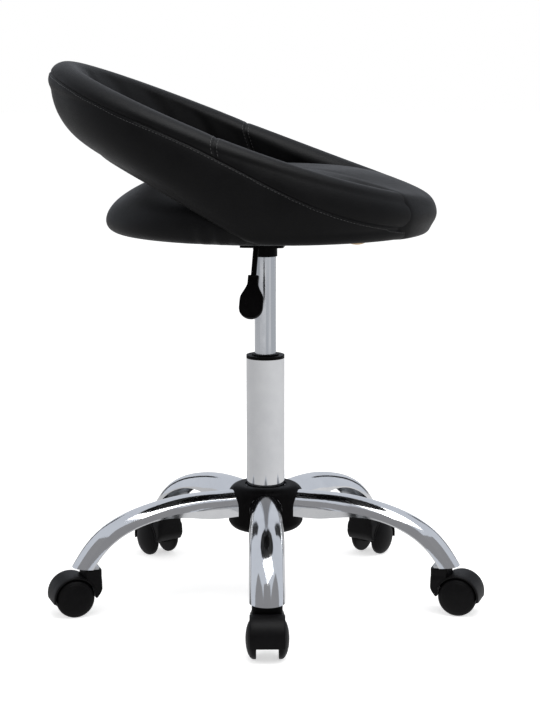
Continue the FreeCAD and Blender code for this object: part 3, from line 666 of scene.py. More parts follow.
class RingSurface:
    """The ring's skin as a function of the angle round it and the way round its section."""

    def __init__(self, sizes: RingSizes) -> None:
        """Keep the ring's sizes."""
        self.sizes = sizes

    def top(self, a: np.ndarray) -> np.ndarray:
        """Centre of the upper roll: an ellipse with a rear and a front half, and a height of cosines.

        Args:
            a: ring angles.

        Returns:
            Points.
        """
        z = self.sizes
        c = np.cos(a)
        half = np.where(c > 0.0, z.top_rear, z.top_front)
        height = z.top_middle + z.top_rise * c - z.top_flattening * np.cos(3.0 * a)
        return np.stack([z.top_centre - half * c, -z.top_side * np.sin(a), height], -1)

    def low(self, a: np.ndarray) -> np.ndarray:
        """Centre of the lower roll: an ellipse, level in front and rising behind by an eased parabola.

        Args:
            a: ring angles.

        Returns:
            Points.
        """
        z = self.sizes
        x = z.low_centre - z.low_length * np.cos(a)
        behind = z.lift_off - x
        eased = (behind + np.hypot(behind, z.lift_softness)) / 2.0
        height = z.low_height + z.lift_slope * eased - z.lift_sag * eased ** 2
        return np.stack([x, -z.low_side * np.sin(a), height], -1)

    def seam(self, a: np.ndarray) -> np.ndarray:
        """Place of the outer seam on the section: 3, where the wall starts, plus a sum of cosines."""
        return 3.0 + sum(c * np.cos(k * a) for k, c in enumerate(self.sizes.seam))

    def lengths(self, a: np.ndarray) -> np.ndarray:
        """Lengths of the section's six parts: radius times a quarter turn for arcs, the gap for walls.

        Args:
            a: ring angles.

        Returns:
            Six lengths on the last axis, from the low tip round the inside to it again.
        """
        q = math.pi / 2.0
        big = self.sizes.top_roll + self.sizes.roll_change * np.cos(a)
        small = self.sizes.low_roll + self.sizes.low_change * self.sizes.roll_change * np.cos(a)
        gap = np.linalg.norm(self.top(a) - self.low(a), axis=-1)
        return np.stack([small * q, gap, big * q, big * q, gap * 1.04, small * q], -1)

    def at(self, a: np.ndarray, q: np.ndarray) -> np.ndarray:
        """Points of the skin: quarter arcs about both rolls, a straight inner and an arched outer wall.

        Args:
            a: ring angles, 0 at the rear and positive on the near side.
            q: places on the section, -1 at the low tip, 0 to 1 up the inner wall, 2 at the
                top tip, 3 to 4 down the outer wall and 5 at the low tip again.

        Returns:
            Points in the seat's frame.
        """
        z = self.sizes
        c = np.cos(a)[..., None]
        high, low = self.top(a), self.low(a)
        up = unit(high - low)
        out = np.stack([-np.cos(a), -np.sin(a), np.zeros_like(a)], -1)
        out = unit(out - up * (up * out).sum(-1, keepdims=True))
        big = z.top_roll + z.roll_change * c
        small = z.low_roll + z.low_change * z.roll_change * c
        w = q[..., None]
        quarter = math.pi / 2.0
        swing = np.clip(w + 1.0, 0.0, 1.0) * quarter
        low_inner = low + small * (-up * np.cos(swing) - out * np.sin(swing))
        share = np.clip(w, 0.0, 1.0)
        inner = (low - out * small) * (1.0 - share) + (high - out * big) * share
        swing = np.clip(w - 1.0, 0.0, 2.0) * quarter
        roll = high + big * (-out * np.cos(swing) + up * np.sin(swing))
        start, end = high + out * big, low + out * small
        chord = unit(end - start)
        side = unit(out - chord * (out * chord).sum(-1, keepdims=True))
        half = np.linalg.norm(end - start, axis=-1, keepdims=True) / 2.0
        rise = (z.bulge + z.bulge_change * c) * (side * out).sum(-1, keepdims=True)
        radius = (half ** 2 + rise ** 2) / (2.0 * rise)
        sweep = np.arcsin(np.clip(half / radius, -1.0, 1.0)) * (2.0 * np.clip(w - 3.0, 0.0, 1.0) - 1.0)
        middle = (start + end) / 2.0
        wall = middle + side * (rise - radius + radius * np.cos(sweep)) + chord * radius * np.sin(sweep)
        swing = np.clip(w - 4.0, 0.0, 1.0) * quarter
        low_outer = low + small * (out * np.cos(swing) - up * np.sin(swing))
        return np.select([w < 0.0, w < 1.0, w < 3.0, w < 4.0], [low_inner, inner, roll, wall], low_outer)


@dataclass(frozen=True)
class Sewing:
    """Sizes of seams, stitches and the puffing of the leather."""

    groove_depth: float = 0.0013
    groove_width: float = 0.0013
    pinch_depth: float = 0.0006
    pinch_width: float = 0.007
    stitch_offset: float = 0.0042
    stitch_length: float = 0.0034
    stitch_pitch: float = 0.0047
    stitch_width: float = 0.00035
    pressure: float = 2.6
    slack: float = 0.0022
    puff_limit: float = 0.006
    fill: float = 0.8
    frames: int = 20
    cloth_quality: int = 6
    cloth_mass: float = 0.25
    cloth_stretch: float = 18.0
    cloth_shear: float = 8.0
    cloth_bend: float = 2.5
    cross_depth: float = 0.7
    front_depth: float = 1.6
    columns: int = 330
    coarse_columns: int = 150
    coarse_rows: tuple = (18, 9, 17)
    coarse_crowd: float = 1.25
    thread_rings: int = 6
    thread_sides: int = 6


class SectionGrid:
    """Grid of the ring's skin whose rows follow the outer seam and whose columns follow the cross seams."""

    def __init__(self, surface: RingSurface, start: float, end: float, marks: Sequence[float], columns: int,
                 zone_rows: tuple = (46, 26, 40), crowd: float = 1.6) -> None:
        """Lay out the grid.

        Args:
            surface: the skin.
            start: first ring angle.
            end: last ring angle.
            marks: angles of cross seams between them, in order.
            columns: number of columns.
            zone_rows: rows from the low tip to the top, on to the seam, and on to the low tip.
            crowd: how closely rows and columns gather at the seams.
        """
        self.surface = surface
        self.crowd = crowd
        self.rows = sum(zone_rows)
        self.seam_row = zone_rows[0] + zone_rows[1]
        self.zone_rows = zone_rows
        self.column_angles = self._columns(start, end, marks, columns)
        self.columns = len(self.column_angles)
        self.marks = marks
        self.angles, self.places, self.lengths = self._layout(np.arange(self.rows, dtype=float))

    def _columns(self, start: float, end: float, marks: Sequence[float], columns: int) -> np.ndarray:
        """Column angles, gathered at the ends and at the cross seams.

        Args:
            start: first angle.
            end: last angle.
            marks: angles of cross seams.
            columns: about how many.

        Returns:
            Angles in order.
        """
        stops = [start, *marks, end]
        parts = []
        for a, b in zip(stops[:-1], stops[1:]):
            count = max(8, round(columns * (b - a) / (end - start)))
            t = np.linspace(0.0, 1.0, count + 1)
            eased = t - 0.72 * np.sin(2.0 * math.pi * t) / (2.0 * math.pi)
            parts.append((a + (b - a) * eased)[:-1])
        return np.concatenate([*parts, [end]])

    def _layout(self, row: np.ndarray) -> tuple:
        """Spread rows over the three stretches of the section, gathered at the seam by a power.

        Args:
            row: row numbers.

        Returns:
            Ring angles and section places by row and column, and the whole length by column.
        """
        sizes = self.surface.sizes
        angle = self.column_angles
        part = self.surface.lengths(angle)
        ends = np.cumsum(part, -1)
        starts = ends - part
        seam_q = self.surface.seam(angle)
        k = np.clip(np.floor(seam_q).astype(int) + 1, 0, 5)
        pick = np.arange(len(angle))
        seam_s = starts[pick, k] + (seam_q - np.floor(seam_q)) * part[pick, k]
        top_s, total = ends[:, 2], ends[:, 5]
        n0, n1, n2 = self.zone_rows
        r = row[:, None]
        f0 = np.clip(r / n0, 0, 1)
        f1 = np.clip((r - n0) / n1, 0, 1)
        f2 = np.clip((r - n0 - n1) / n2, 0, 1)
        s = top_s * f0 + (seam_s - top_s) * (1 - (1 - f1) ** self.crowd) + (total - seam_s) * f2 ** self.crowd
        q = -1.0 + sum(np.clip((s - starts[:, n]) / part[:, n], 0, 1) for n in range(6))
        self.seam_distance = s - seam_s
        lift = np.exp(-((q - 2.0) / 0.9) ** 2)
        near_cross = 1.0 - smoothstep(np.abs(np.abs(angle) - sizes.cross_angle) / math.radians(34.0))
        near_end = 1.0 - smoothstep(np.abs(np.abs(angle) - sizes.end_angle) / math.radians(24.0))
        slant = np.sign(angle) * (near_cross * sizes.cross_slant + near_end * sizes.end_slant)
        return angle + slant * lift, q, total

    def column_at(self, mark: float) -> int:
        """Number of the column nearest to an angle."""
        return int(np.argmin(np.abs(self.column_angles - mark)))

    def points(self) -> np.ndarray:
        """Skin points, rows by columns."""
        return self.surface.at(self.angles, self.places)


def grid_slopes(points: np.ndarray, wrap_rows: bool, wrap_columns: bool) -> np.ndarray:
    """Cross product of a grid's row and column directions, by differences of neighbours.

    Args:
        points: grid of points.
        wrap_rows: the rows close on themselves.
        wrap_columns: the columns close on themselves.

    Returns:
        A vector for each point.
    """

    def slope(axis: int, wrap: bool) -> np.ndarray:
        """Difference of the two neighbours along one axis; half of it where the axis is open."""
        if wrap:
            return np.roll(points, -1, axis) - np.roll(points, 1, axis)
        return np.gradient(points, axis=axis)

    return np.cross(slope(0, wrap_rows), slope(1, wrap_columns))


def facing(points: np.ndarray, tube: bool) -> float:
    """1 when a grid's row and column directions turn its faces outwards, otherwise -1.

    Args:
        points: grid of points.
        tube: the rows close round each column's middle; otherwise the grid closes round its own middle.

    Returns:
        The sign.
    """
    middle = points.mean(0, keepdims=True) if tube else points.mean((0, 1))
    return 1.0 if (grid_slopes(points, tube, not tube) * (points - middle)).sum() > 0.0 else -1.0


def outward_normals(points: np.ndarray) -> np.ndarray:
    """Outward normals of a tube of points whose rows close on themselves."""
    return unit(grid_slopes(points, True, False)) * facing(points, True)


def closed_shell(points: np.ndarray, poles: np.ndarray | None = None) -> tuple:
    """Close a grid of points into a shell whose faces point outwards.

    Args:
        points: grid of points. Without poles its rows close on themselves and its end columns get
            a face each; with poles its columns close and its end rows meet in two points.
        poles: the two points.

    Returns:
        Vertices and a list of faces.
    """
    rows, columns = points.shape[:2]
    tube = poles is None
    outward = facing(points, tube) > 0.0
    quads = grid_faces(rows, columns, tube, not tube)
    flat = points.reshape(-1, 3)
    if tube:
        first = np.arange(rows) * columns
        last = first + columns - 1
        ends = [first[::-1].tolist(), last.tolist()]
    else:
        c = np.arange(columns)
        after = (c + 1) % columns
        base = (rows - 1) * columns
        top, foot = np.full(columns, rows * columns), np.full(columns, rows * columns + 1)
        ends = np.concatenate([np.stack([top, c, after], -1), np.stack([foot, base + after, base + c], -1)])
        ends = ends.tolist()
        flat = np.concatenate([flat, poles])
    faces = [*quads.tolist(), *ends]
    return flat, faces if outward else [face[::-1] for face in faces]


def shells_object(name: str, shells: Sequence[tuple], material: bpy.types.Material) -> bpy.types.Object:
    """Make one object of several closed shells.

    Args:
        name: object name.
        shells: vertices and faces of each shell.
        material: its material.

    Returns:
        The object.
    """
    faces, offset = [], 0
    for points, own in shells:
        faces += [[index + offset for index in face] for face in own]
        offset += len(points)
    points = np.concatenate([shell[0] for shell in shells])
    return mesh_object(name, points, np.zeros((0, 4), int), material, faces)


def puff(points: np.ndarray, faces: np.ndarray, pinned: np.ndarray, sewing: Sewing) -> np.ndarray:
    """Blow a closed skin up with a cloth simulation.

    Args:
        points: vertices of the closed skin.
        faces: its quads.
        pinned: weight from 0 to 1 by vertex; 1 doesn't move.
        sewing: settings of the cloth, and the limit.

    Returns:
        How far each vertex moves, limited.
    """
    skin = mesh_object("puff", points, faces, None)
    group = skin.vertex_groups.new(name="pin")
    for weight in np.unique(np.round(pinned, 2)):
        chosen = np.nonzero(np.abs(np.round(pinned, 2) - weight) < 1e-6)[0]
        if weight > 0.0:
            group.add(chosen.tolist(), float(weight), "REPLACE")
    cloth = skin.modifiers.new("cloth", "CLOTH")
    cloth.settings.vertex_group_mass = "pin"
    cloth.settings.quality = sewing.cloth_quality
    cloth.settings.mass = sewing.cloth_mass
    cloth.settings.tension_stiffness = sewing.cloth_stretch
    cloth.settings.compression_stiffness = sewing.cloth_stretch
    cloth.settings.shear_stiffness = sewing.cloth_shear
    cloth.settings.bending_stiffness = sewing.cloth_bend
    cloth.settings.use_pressure = True
    cloth.settings.uniform_pressure_force = sewing.pressure
    cloth.settings.effector_weights.gravity = 0.0
    cloth.point_cache.frame_start = 1
    cloth.point_cache.frame_end = sewing.frames
    scene = bpy.context.scene
    for frame in range(1, sewing.frames + 1):
        scene.frame_set(frame)
    graph = bpy.context.evaluated_depsgraph_get()
    settled = skin.evaluated_get(graph)
    moved = read_points(settled) - points.reshape(-1, 3)
    bpy.data.objects.remove(skin)
    scene.frame_set(1)
    size = np.linalg.norm(moved, axis=-1, keepdims=True)
    LOG.info("puffed %d points, mean %.4f, most %.4f", len(moved), size.mean(), size.max())
    return moved * (sewing.puff_limit * np.tanh(size / sewing.puff_limit) / np.maximum(size, 1e-9))


class Stitches:
    """Runs of short raised threads laid on the leather."""

    def __init__(self, sewing: Sewing) -> None:
        """Start with no stitches.

        Args:
            sewing: stitch sizes.
        """
        self.sewing = sewing
        self.centres: list = []
        self.ways: list = []
        self.normals: list = []

    def run(self, path: np.ndarray, normals: np.ndarray) -> None:
        """Sew along a path.

        Args:
            path: points of the path, close together.
            normals: the leather's normals there.
        """
        steps = np.linalg.norm(np.diff(path, axis=0), axis=-1)
        s = np.concatenate([[0.0], np.cumsum(steps)])
        pitch = self.sewing.stitch_pitch
        places = np.arange(pitch, s[-1] - pitch / 2, pitch)
        read = np.stack([np.interp(places, s, path[:, k]) for k in range(3)], -1)
        ahead = np.stack([np.interp(places + 0.001, s, path[:, k]) for k in range(3)], -1)
        normal = np.stack([np.interp(places, s, normals[:, k]) for k in range(3)], -1)
        self.centres.append(read)
        self.ways.append(unit(ahead - read))
        self.normals.append(unit(normal))

    def build(self, name: str, material: bpy.types.Material) -> bpy.types.Object:
        """Make one object of all the stitches.

        Args:
            name: object name.
            material: thread.

        Returns:
            The object.
        """
        centre = np.concatenate(self.centres)[:, None, None, :]
        way = np.concatenate(self.ways)[:, None, None, :]
        normal = np.concatenate(self.normals)[:, None, None, :]
        across = np.cross(way, normal)
        rings, sides = self.sewing.thread_rings, self.sewing.thread_sides
        t = np.linspace(-1.0, 1.0, rings)[None, :, None, None]
        ring = full_turn(sides)[None, None, :, None]
        wide = self.sewing.stitch_width
        arch = (1.0 - t ** 2) * wide * 1.1 - wide * 0.7
        thick = wide * (1.0 - 0.25 * t ** 4)
        points = (centre + way * t * self.sewing.stitch_length / 2.0 + normal * arch
                  + across * np.cos(ring) * thick + normal * np.sin(ring) * thick * 0.8)
        size = rings * sides
        first = size * np.arange(points.shape[0])[:, None]
        one = grid_faces(rings, sides, False, True)
        faces = (one[None] + first[..., None]).reshape(-1, 4)
        ends = np.concatenate([np.arange(sides)[::-1][None] + first,
                               np.arange(size - sides, size)[None] + first])
        return mesh_object(name, points, faces, material, ends.tolist())


class SeatLeather:
    """The padded ring and the cushion with its front lip."""

    def __init__(self, palette: Palette) -> None:
        """Keep the finishes and prepare the ring's surface.

        Args:
            palette: finishes.
        """
        self.palette = palette
        self.sewing = Sewing()
        self.surface = RingSurface(RingSizes())

    def groove(self, distance: np.ndarray, depth: float = 1.0) -> np.ndarray:
        """How far leather is drawn in at a distance from a seam: a narrow and a wide bell curve.

        Args:
            distance: distance from the seam.
            depth: share of the full depth.

        Returns:
            Depths in metres.
        """
        s = self.sewing
        sharp = s.groove_depth * np.exp(-((distance / s.groove_width) ** 2))
        soft = s.pinch_depth * np.exp(-((distance / s.pinch_width) ** 2))
        return (sharp + soft) * depth

    def ring(self) -> bpy.types.Object:
        """Sew the ring from one front seam round the back to the other.

        Returns:
            The ring's leather.
        """
        z = self.surface.sizes
        cross = [-z.cross_angle, z.cross_angle]
        grid = SectionGrid(self.surface, -z.end_angle, z.end_angle, cross, self.sewing.columns)
        points = grid.points()
        points = points + self.ring_puff(grid)
        normals = outward_normals(points)
        round_ring = self.travel(points)
        upper = 1.0 - smoothstep((grid.seam_distance + 0.0005) / 0.002)
        upper = upper * smoothstep((grid.places + 0.4) / 0.3)
        drawn = self.groove(grid.seam_distance)
        for mark in cross:
            column = grid.column_at(mark)
            away = round_ring - round_ring[:, column:column + 1]
            drawn = drawn + self.groove(away, self.sewing.cross_depth) * upper
        for column in (0, -1):
            away = round_ring - round_ring[:, column:][:, :1]
            drawn = drawn + self.groove(away, self.sewing.front_depth)
        world = turn_z(points - normals * drawn[..., None], SEAT_TURN)
        made = shells_object("backrest_leather", [closed_shell(world)], self.palette[Slot.LEATHER])
        self.sew_ring(grid, world, round_ring, cross)
        return made

    def travel(self, points: np.ndarray) -> np.ndarray:
        """Distance along each row from the first column."""
        steps = np.linalg.norm(np.diff(points, axis=1), axis=-1)
        return np.concatenate([np.zeros((points.shape[0], 1)), np.cumsum(steps, 1)], 1)

    def ring_puff(self, grid: SectionGrid) -> np.ndarray:
        """Simulate a coarse copy of the ring and read its movement on the fine grid.

        Args:
            grid: the fine grid.

        Returns:
            Shift of each fine point.
        """
        z = self.surface.sizes
        sewing = self.sewing
        coarse = SectionGrid(self.surface, -z.end_angle, z.end_angle, grid.marks, sewing.coarse_columns,
                             sewing.coarse_rows, sewing.coarse_crowd)
        points = coarse.points()
        normals = outward_normals(points)
        start = points - normals * self.sewing.slack
        pinned = np.zeros((coarse.rows, coarse.columns))
        pinned[coarse.seam_row] = 1.0
        pinned[:, 0] = 1.0
        pinned[:, -1] = 1.0
        for mark in grid.marks:
            column = coarse.column_at(mark)
            pinned[:coarse.seam_row, column] = 1.0
        pinned = np.maximum(pinned, 0.9 * (coarse.places < 0.25))
        faces = grid_faces(coarse.rows, coarse.columns, True, False)
        if facing(points, True) < 0.0:
            faces = faces[:, ::-1]
        moved = puff(start, faces, pinned.ravel(), self.sewing).reshape(points.shape)
        shift = (moved * normals).sum(-1, keepdims=True) - self.sewing.slack
        rows = self.zone_places(grid.zone_rows, coarse.zone_rows, grid.crowd, coarse.crowd)
        columns = np.interp(grid.column_angles, coarse.column_angles, np.arange(coarse.columns))
        fine = resample(np.repeat(shift, 3, -1), rows, columns, True, False)[..., :1]
        return outward_normals(grid.points()) * fine

    def zone_places(self, fine: tuple, coarse: tuple, fine_crowd: float, coarse_crowd: float) -> np.ndarray:
        """Fractional coarse rows of the fine grid's rows.

        Args:
            fine: rows of the fine zones.
            coarse: rows of the coarse zones.
            fine_crowd: how the fine rows gather.
            coarse_crowd: how the coarse rows gather.

        Returns:
            Fractional rows.
        """
        first = np.arange(fine[0]) / fine[0] * coarse[0]
        back = 1.0 - np.arange(fine[1]) / fine[1]
        second = coarse[0] + coarse[1] * (1.0 - back ** (fine_crowd / coarse_crowd))
        ahead = np.arange(fine[2]) / fine[2]
        third = coarse[0] + coarse[1] + coarse[2] * ahead ** (fine_crowd / coarse_crowd)
        return np.concatenate([first, second, third])

    def sew_ring(self, grid: SectionGrid, world: np.ndarray, round_ring: np.ndarray,
                 cross: Sequence[float]) -> None:
        """Lay topstitches below the outer seam and beside the cross seams.

        Args:
            grid: the fine grid.
            world: skin points in place.
            round_ring: distance along each row.
            cross: angles of cross seams.
        """
        normals = outward_normals(world)
        threads = Stitches(self.sewing)
        seam = grid.seam_row
        below = grid.seam_distance[seam:] - self.sewing.stitch_offset
        row = np.abs(below).argmin(0) + seam
        pick = np.arange(grid.columns)
        inner = slice(3, -3)
        threads.run(world[row, pick][inner], normals[row, pick][inner])
        first = int(np.argmax(grid.places[:, grid.columns // 2] > 0.35))
        for mark in cross:
            column = grid.column_at(mark)
            for side in (-1.0, 1.0):
                target = round_ring[:, column] + side * self.sewing.stitch_offset
                path, lay = [], []
                for r in range(first, seam - 1):
                    path.append([np.interp(target[r], round_ring[r], world[r, :, k]) for k in range(3)])
                    lay.append([np.interp(target[r], round_ring[r], normals[r, :, k]) for k in range(3)])
                threads.run(np.array(path), np.array(lay))
        made = threads.build("backrest_stitches", self.palette.thread)
        belongs(made, SEAT_BODY)

    def build(self) -> None:
        """Build the leather and hide the CAD pieces it stands for."""
        for make, node in ((self.ring, "backrest_ring"), (Cushion(self).build, "seat_cushion")):
            made = make()
            belongs(made, SEAT_BODY, node)


@dataclass(frozen=True)
class CushionSizes:
    """Sizes of the cushion, in metres."""

    floor: float = 0.487
    crown: float = 0.5725
    squeeze: float = 186.0 / 203.0
    lip_start: float = math.radians(140.0)
    lip_full: float = math.radians(152.0)
    fold_top: float = 0.515
    folds: tuple = ((70.0, 1.6, 0.0018), (76.0, 1.9, 0.0026), (82.5, 1.7, 0.0022), (88.0, 2.0, 0.0014))
    fold_fade: float = 0.014
    rim_start: float = 0.155
    rim_fade: float = 0.02
    rear_outline: tuple = ((0.118, 0.5665), (0.168, 0.5455), (0.200, 0.523), (0.2085, 0.500))
    side_outline: tuple = ((0.125, 0.5685), (0.172, 0.558), (0.200, 0.528), (0.2045, 0.500))
    crown_flat: float = 0.06
    rear_foot: tuple = (0.197, 0.172, 0.1, 0.0)
    side_foot: tuple = (0.193, 0.17, 0.1, 0.0)
    lip_places: tuple = (2.1, 2.6, 3.1, 3.6, 4.1, 4.6, 5.0)
    lip_flat: tuple = (0.0, 0.3)
    lip_slope: tuple = ((0.56, 0.5705), (0.8, 0.561))
    lip_under: tuple = (0.86, 0.5, 0.0)
    columns: int = 260
    rows: int = 90


class Cushion:
    """Round pad whose front flows over the lip between the ring's two ends."""

    def __init__(self, leather: SeatLeather) -> None:
        """Keep the leather it is sewn to."""
        self.leather = leather
        self.sizes = CushionSizes()

    def outlines(self, angles: np.ndarray) -> np.ndarray:
        """Outline of the pad: the side's blended into the rear's by half of one plus the cosine.

        Args:
            angles: angles from the rear.

        Returns:
            Control points (distance, height) by angle.
        """
        z = self.sizes
        crown = [(0.0, z.crown), (z.crown_flat, z.crown)]
        rear, side = (np.array([*crown, *outline, *[(reach, z.floor) for reach in foot]])
                      for outline, foot in ((z.rear_outline, z.rear_foot), (z.side_outline, z.side_foot)))
        c = (1.0 + np.cos(angles))[:, None, None] / 2.0
        return side * (1.0 - c) + rear * c

    def pad(self, angles: np.ndarray, t: np.ndarray) -> np.ndarray:
        """Pad points: the outline's spline turned about the upright axis and squeezed across.

        Args:
            angles: angles from the rear.
            t: places along the outline.

        Returns:
            Points, angles by places.
        """
        line = spline(self.outlines(angles), t)
        a = angles[:, None]
        r, z = line[..., 0], line[..., 1]
        return np.stack([-np.cos(a) * r, -np.sin(a) * r * self.sizes.squeeze, z], -1)

    def front(self, angles: np.ndarray, t: np.ndarray) -> np.ndarray:
        """Front points: a spline from the crown, over the ring's own section and back under the pad.

        Args:
            angles: angles from the rear.
            t: places along the outline.

        Returns:
            Points, angles by places.
        """
        z = self.sizes
        a, w = np.meshgrid(angles, z.lip_places, indexing="ij")
        skin = self.leather.surface.at(a, w)
        reach = np.linalg.norm(skin[:, 0, :2], axis=-1)
        way = skin[:, 0, :2] / reach[:, None]
        last = np.linalg.norm(skin[:, -1, :2], axis=-1)

        def level(far: np.ndarray, share: float, height: float) -> np.ndarray:
            """Points at a share of a reach, all at one height."""
            flat = way * (far * share)[:, None]
            return np.concatenate([flat, np.full((len(angles), 1), height)], -1)

        inner = [level(reach, share, z.crown) for share in z.lip_flat]
        inner += [level(reach, share, height) for share, height in z.lip_slope]
        under = [level(last, share, z.floor) for share in z.lip_under]
        return spline(np.stack([*inner, *[skin[:, k] for k in range(skin.shape[1])], *under], 1), t)

    def gathers(self, angles: np.ndarray, points: np.ndarray) -> np.ndarray:
        """Small folds in the lower edge: each a bell curve across the angle, less a shifted one.

        Args:
            angles: angles from the rear.
            points: points, angles by places.

        Returns:
            Shift of each point.
        """
        z = self.sizes
        total = 0.0
        for centre, wide, depth in z.folds:
            across = (np.abs(angles)[:, None] - math.radians(centre)) / math.radians(wide)
            total = total + depth * (np.exp(-(across ** 2)) - 0.8 * np.exp(-((across - 1.5) ** 2)))
        low = smoothstep((z.fold_top - points[..., 2]) / z.fold_fade)
        radius = np.linalg.norm(points[..., :2], axis=-1)
        rim = smoothstep((radius - z.rim_start) / z.rim_fade)
        way = unit(points * np.array([1.0, 1.0, 0.0]))
        return -way * (total * low * rim)[..., None]

    def build(self) -> bpy.types.Object:
        """Sew the cushion.

        Returns:
            The cushion's leather.
        """
        z = self.sizes
        angles = np.linspace(-math.pi, math.pi, z.columns, endpoint=False)
        t = np.linspace(0.0, 1.0, z.rows)[1:-1]
        pad, front = self.pad(angles, t), self.front(angles, t)
        share = smoothstep((np.abs(angles) - z.lip_start) / (z.lip_full - z.lip_start))[:, None, None]
        points = pad * (1.0 - share) + front * share
        points = points + self.gathers(angles, points)
        points = points.transpose(1, 0, 2)
        poles = np.array([[0.0, 0.0, z.crown], [0.0, 0.0, z.floor]])
        shell = closed_shell(turn_z(points, SEAT_TURN), poles)
        return shells_object("cushion_leather", [shell], self.leather.palette[Slot.LEATHER])


# Casters


@dataclass(frozen=True)
class CasterSizes:
    """Sizes of a caster, in metres, with the stem at the origin and the wheels trailing along +X."""

    stem_reach: float = 0.24251
    trail: float = 0.0205
    wheel_radius: float = 0.025
    wheel_inner: float = 0.0135
    tread_end: float = 0.0165
    dome: float = 0.010
    edge: float = 0.0012
    rim_groove: float = 0.0204
    hood_inner: float = 0.0262
    hood_edge: float = 0.0275
    hood_crown: float = 0.0013
    hood_half: float = 0.0215
    hood_low: float = math.radians(-10.0)
    hood_back: float = math.radians(176.0)
    block_back: float = -0.0155
    block_front: float = 0.008
    block_foot: float = 0.0245
    block_bend: float = 0.036
    block_top: float = 0.0606
    block_half: float = 0.01875
    block_flare: float = 0.0021
    boss_radius: float = 0.011
    boss_half: float = 0.0128
    first_angle: float = math.radians(-89.6)
    groove_depth: float = 0.0004
    groove_width: float = 0.0003
    foot_bend: float = 0.007
    flare_top: float = 0.052
    flare_run: float = 0.006
    round_top: float = 0.0012
    web_low: float = 0.027
    web_top: float = 0.0475
    web_back: float = -0.004
    web_front: float = 0.003
    corner_power: float = 1.0 / 3.0


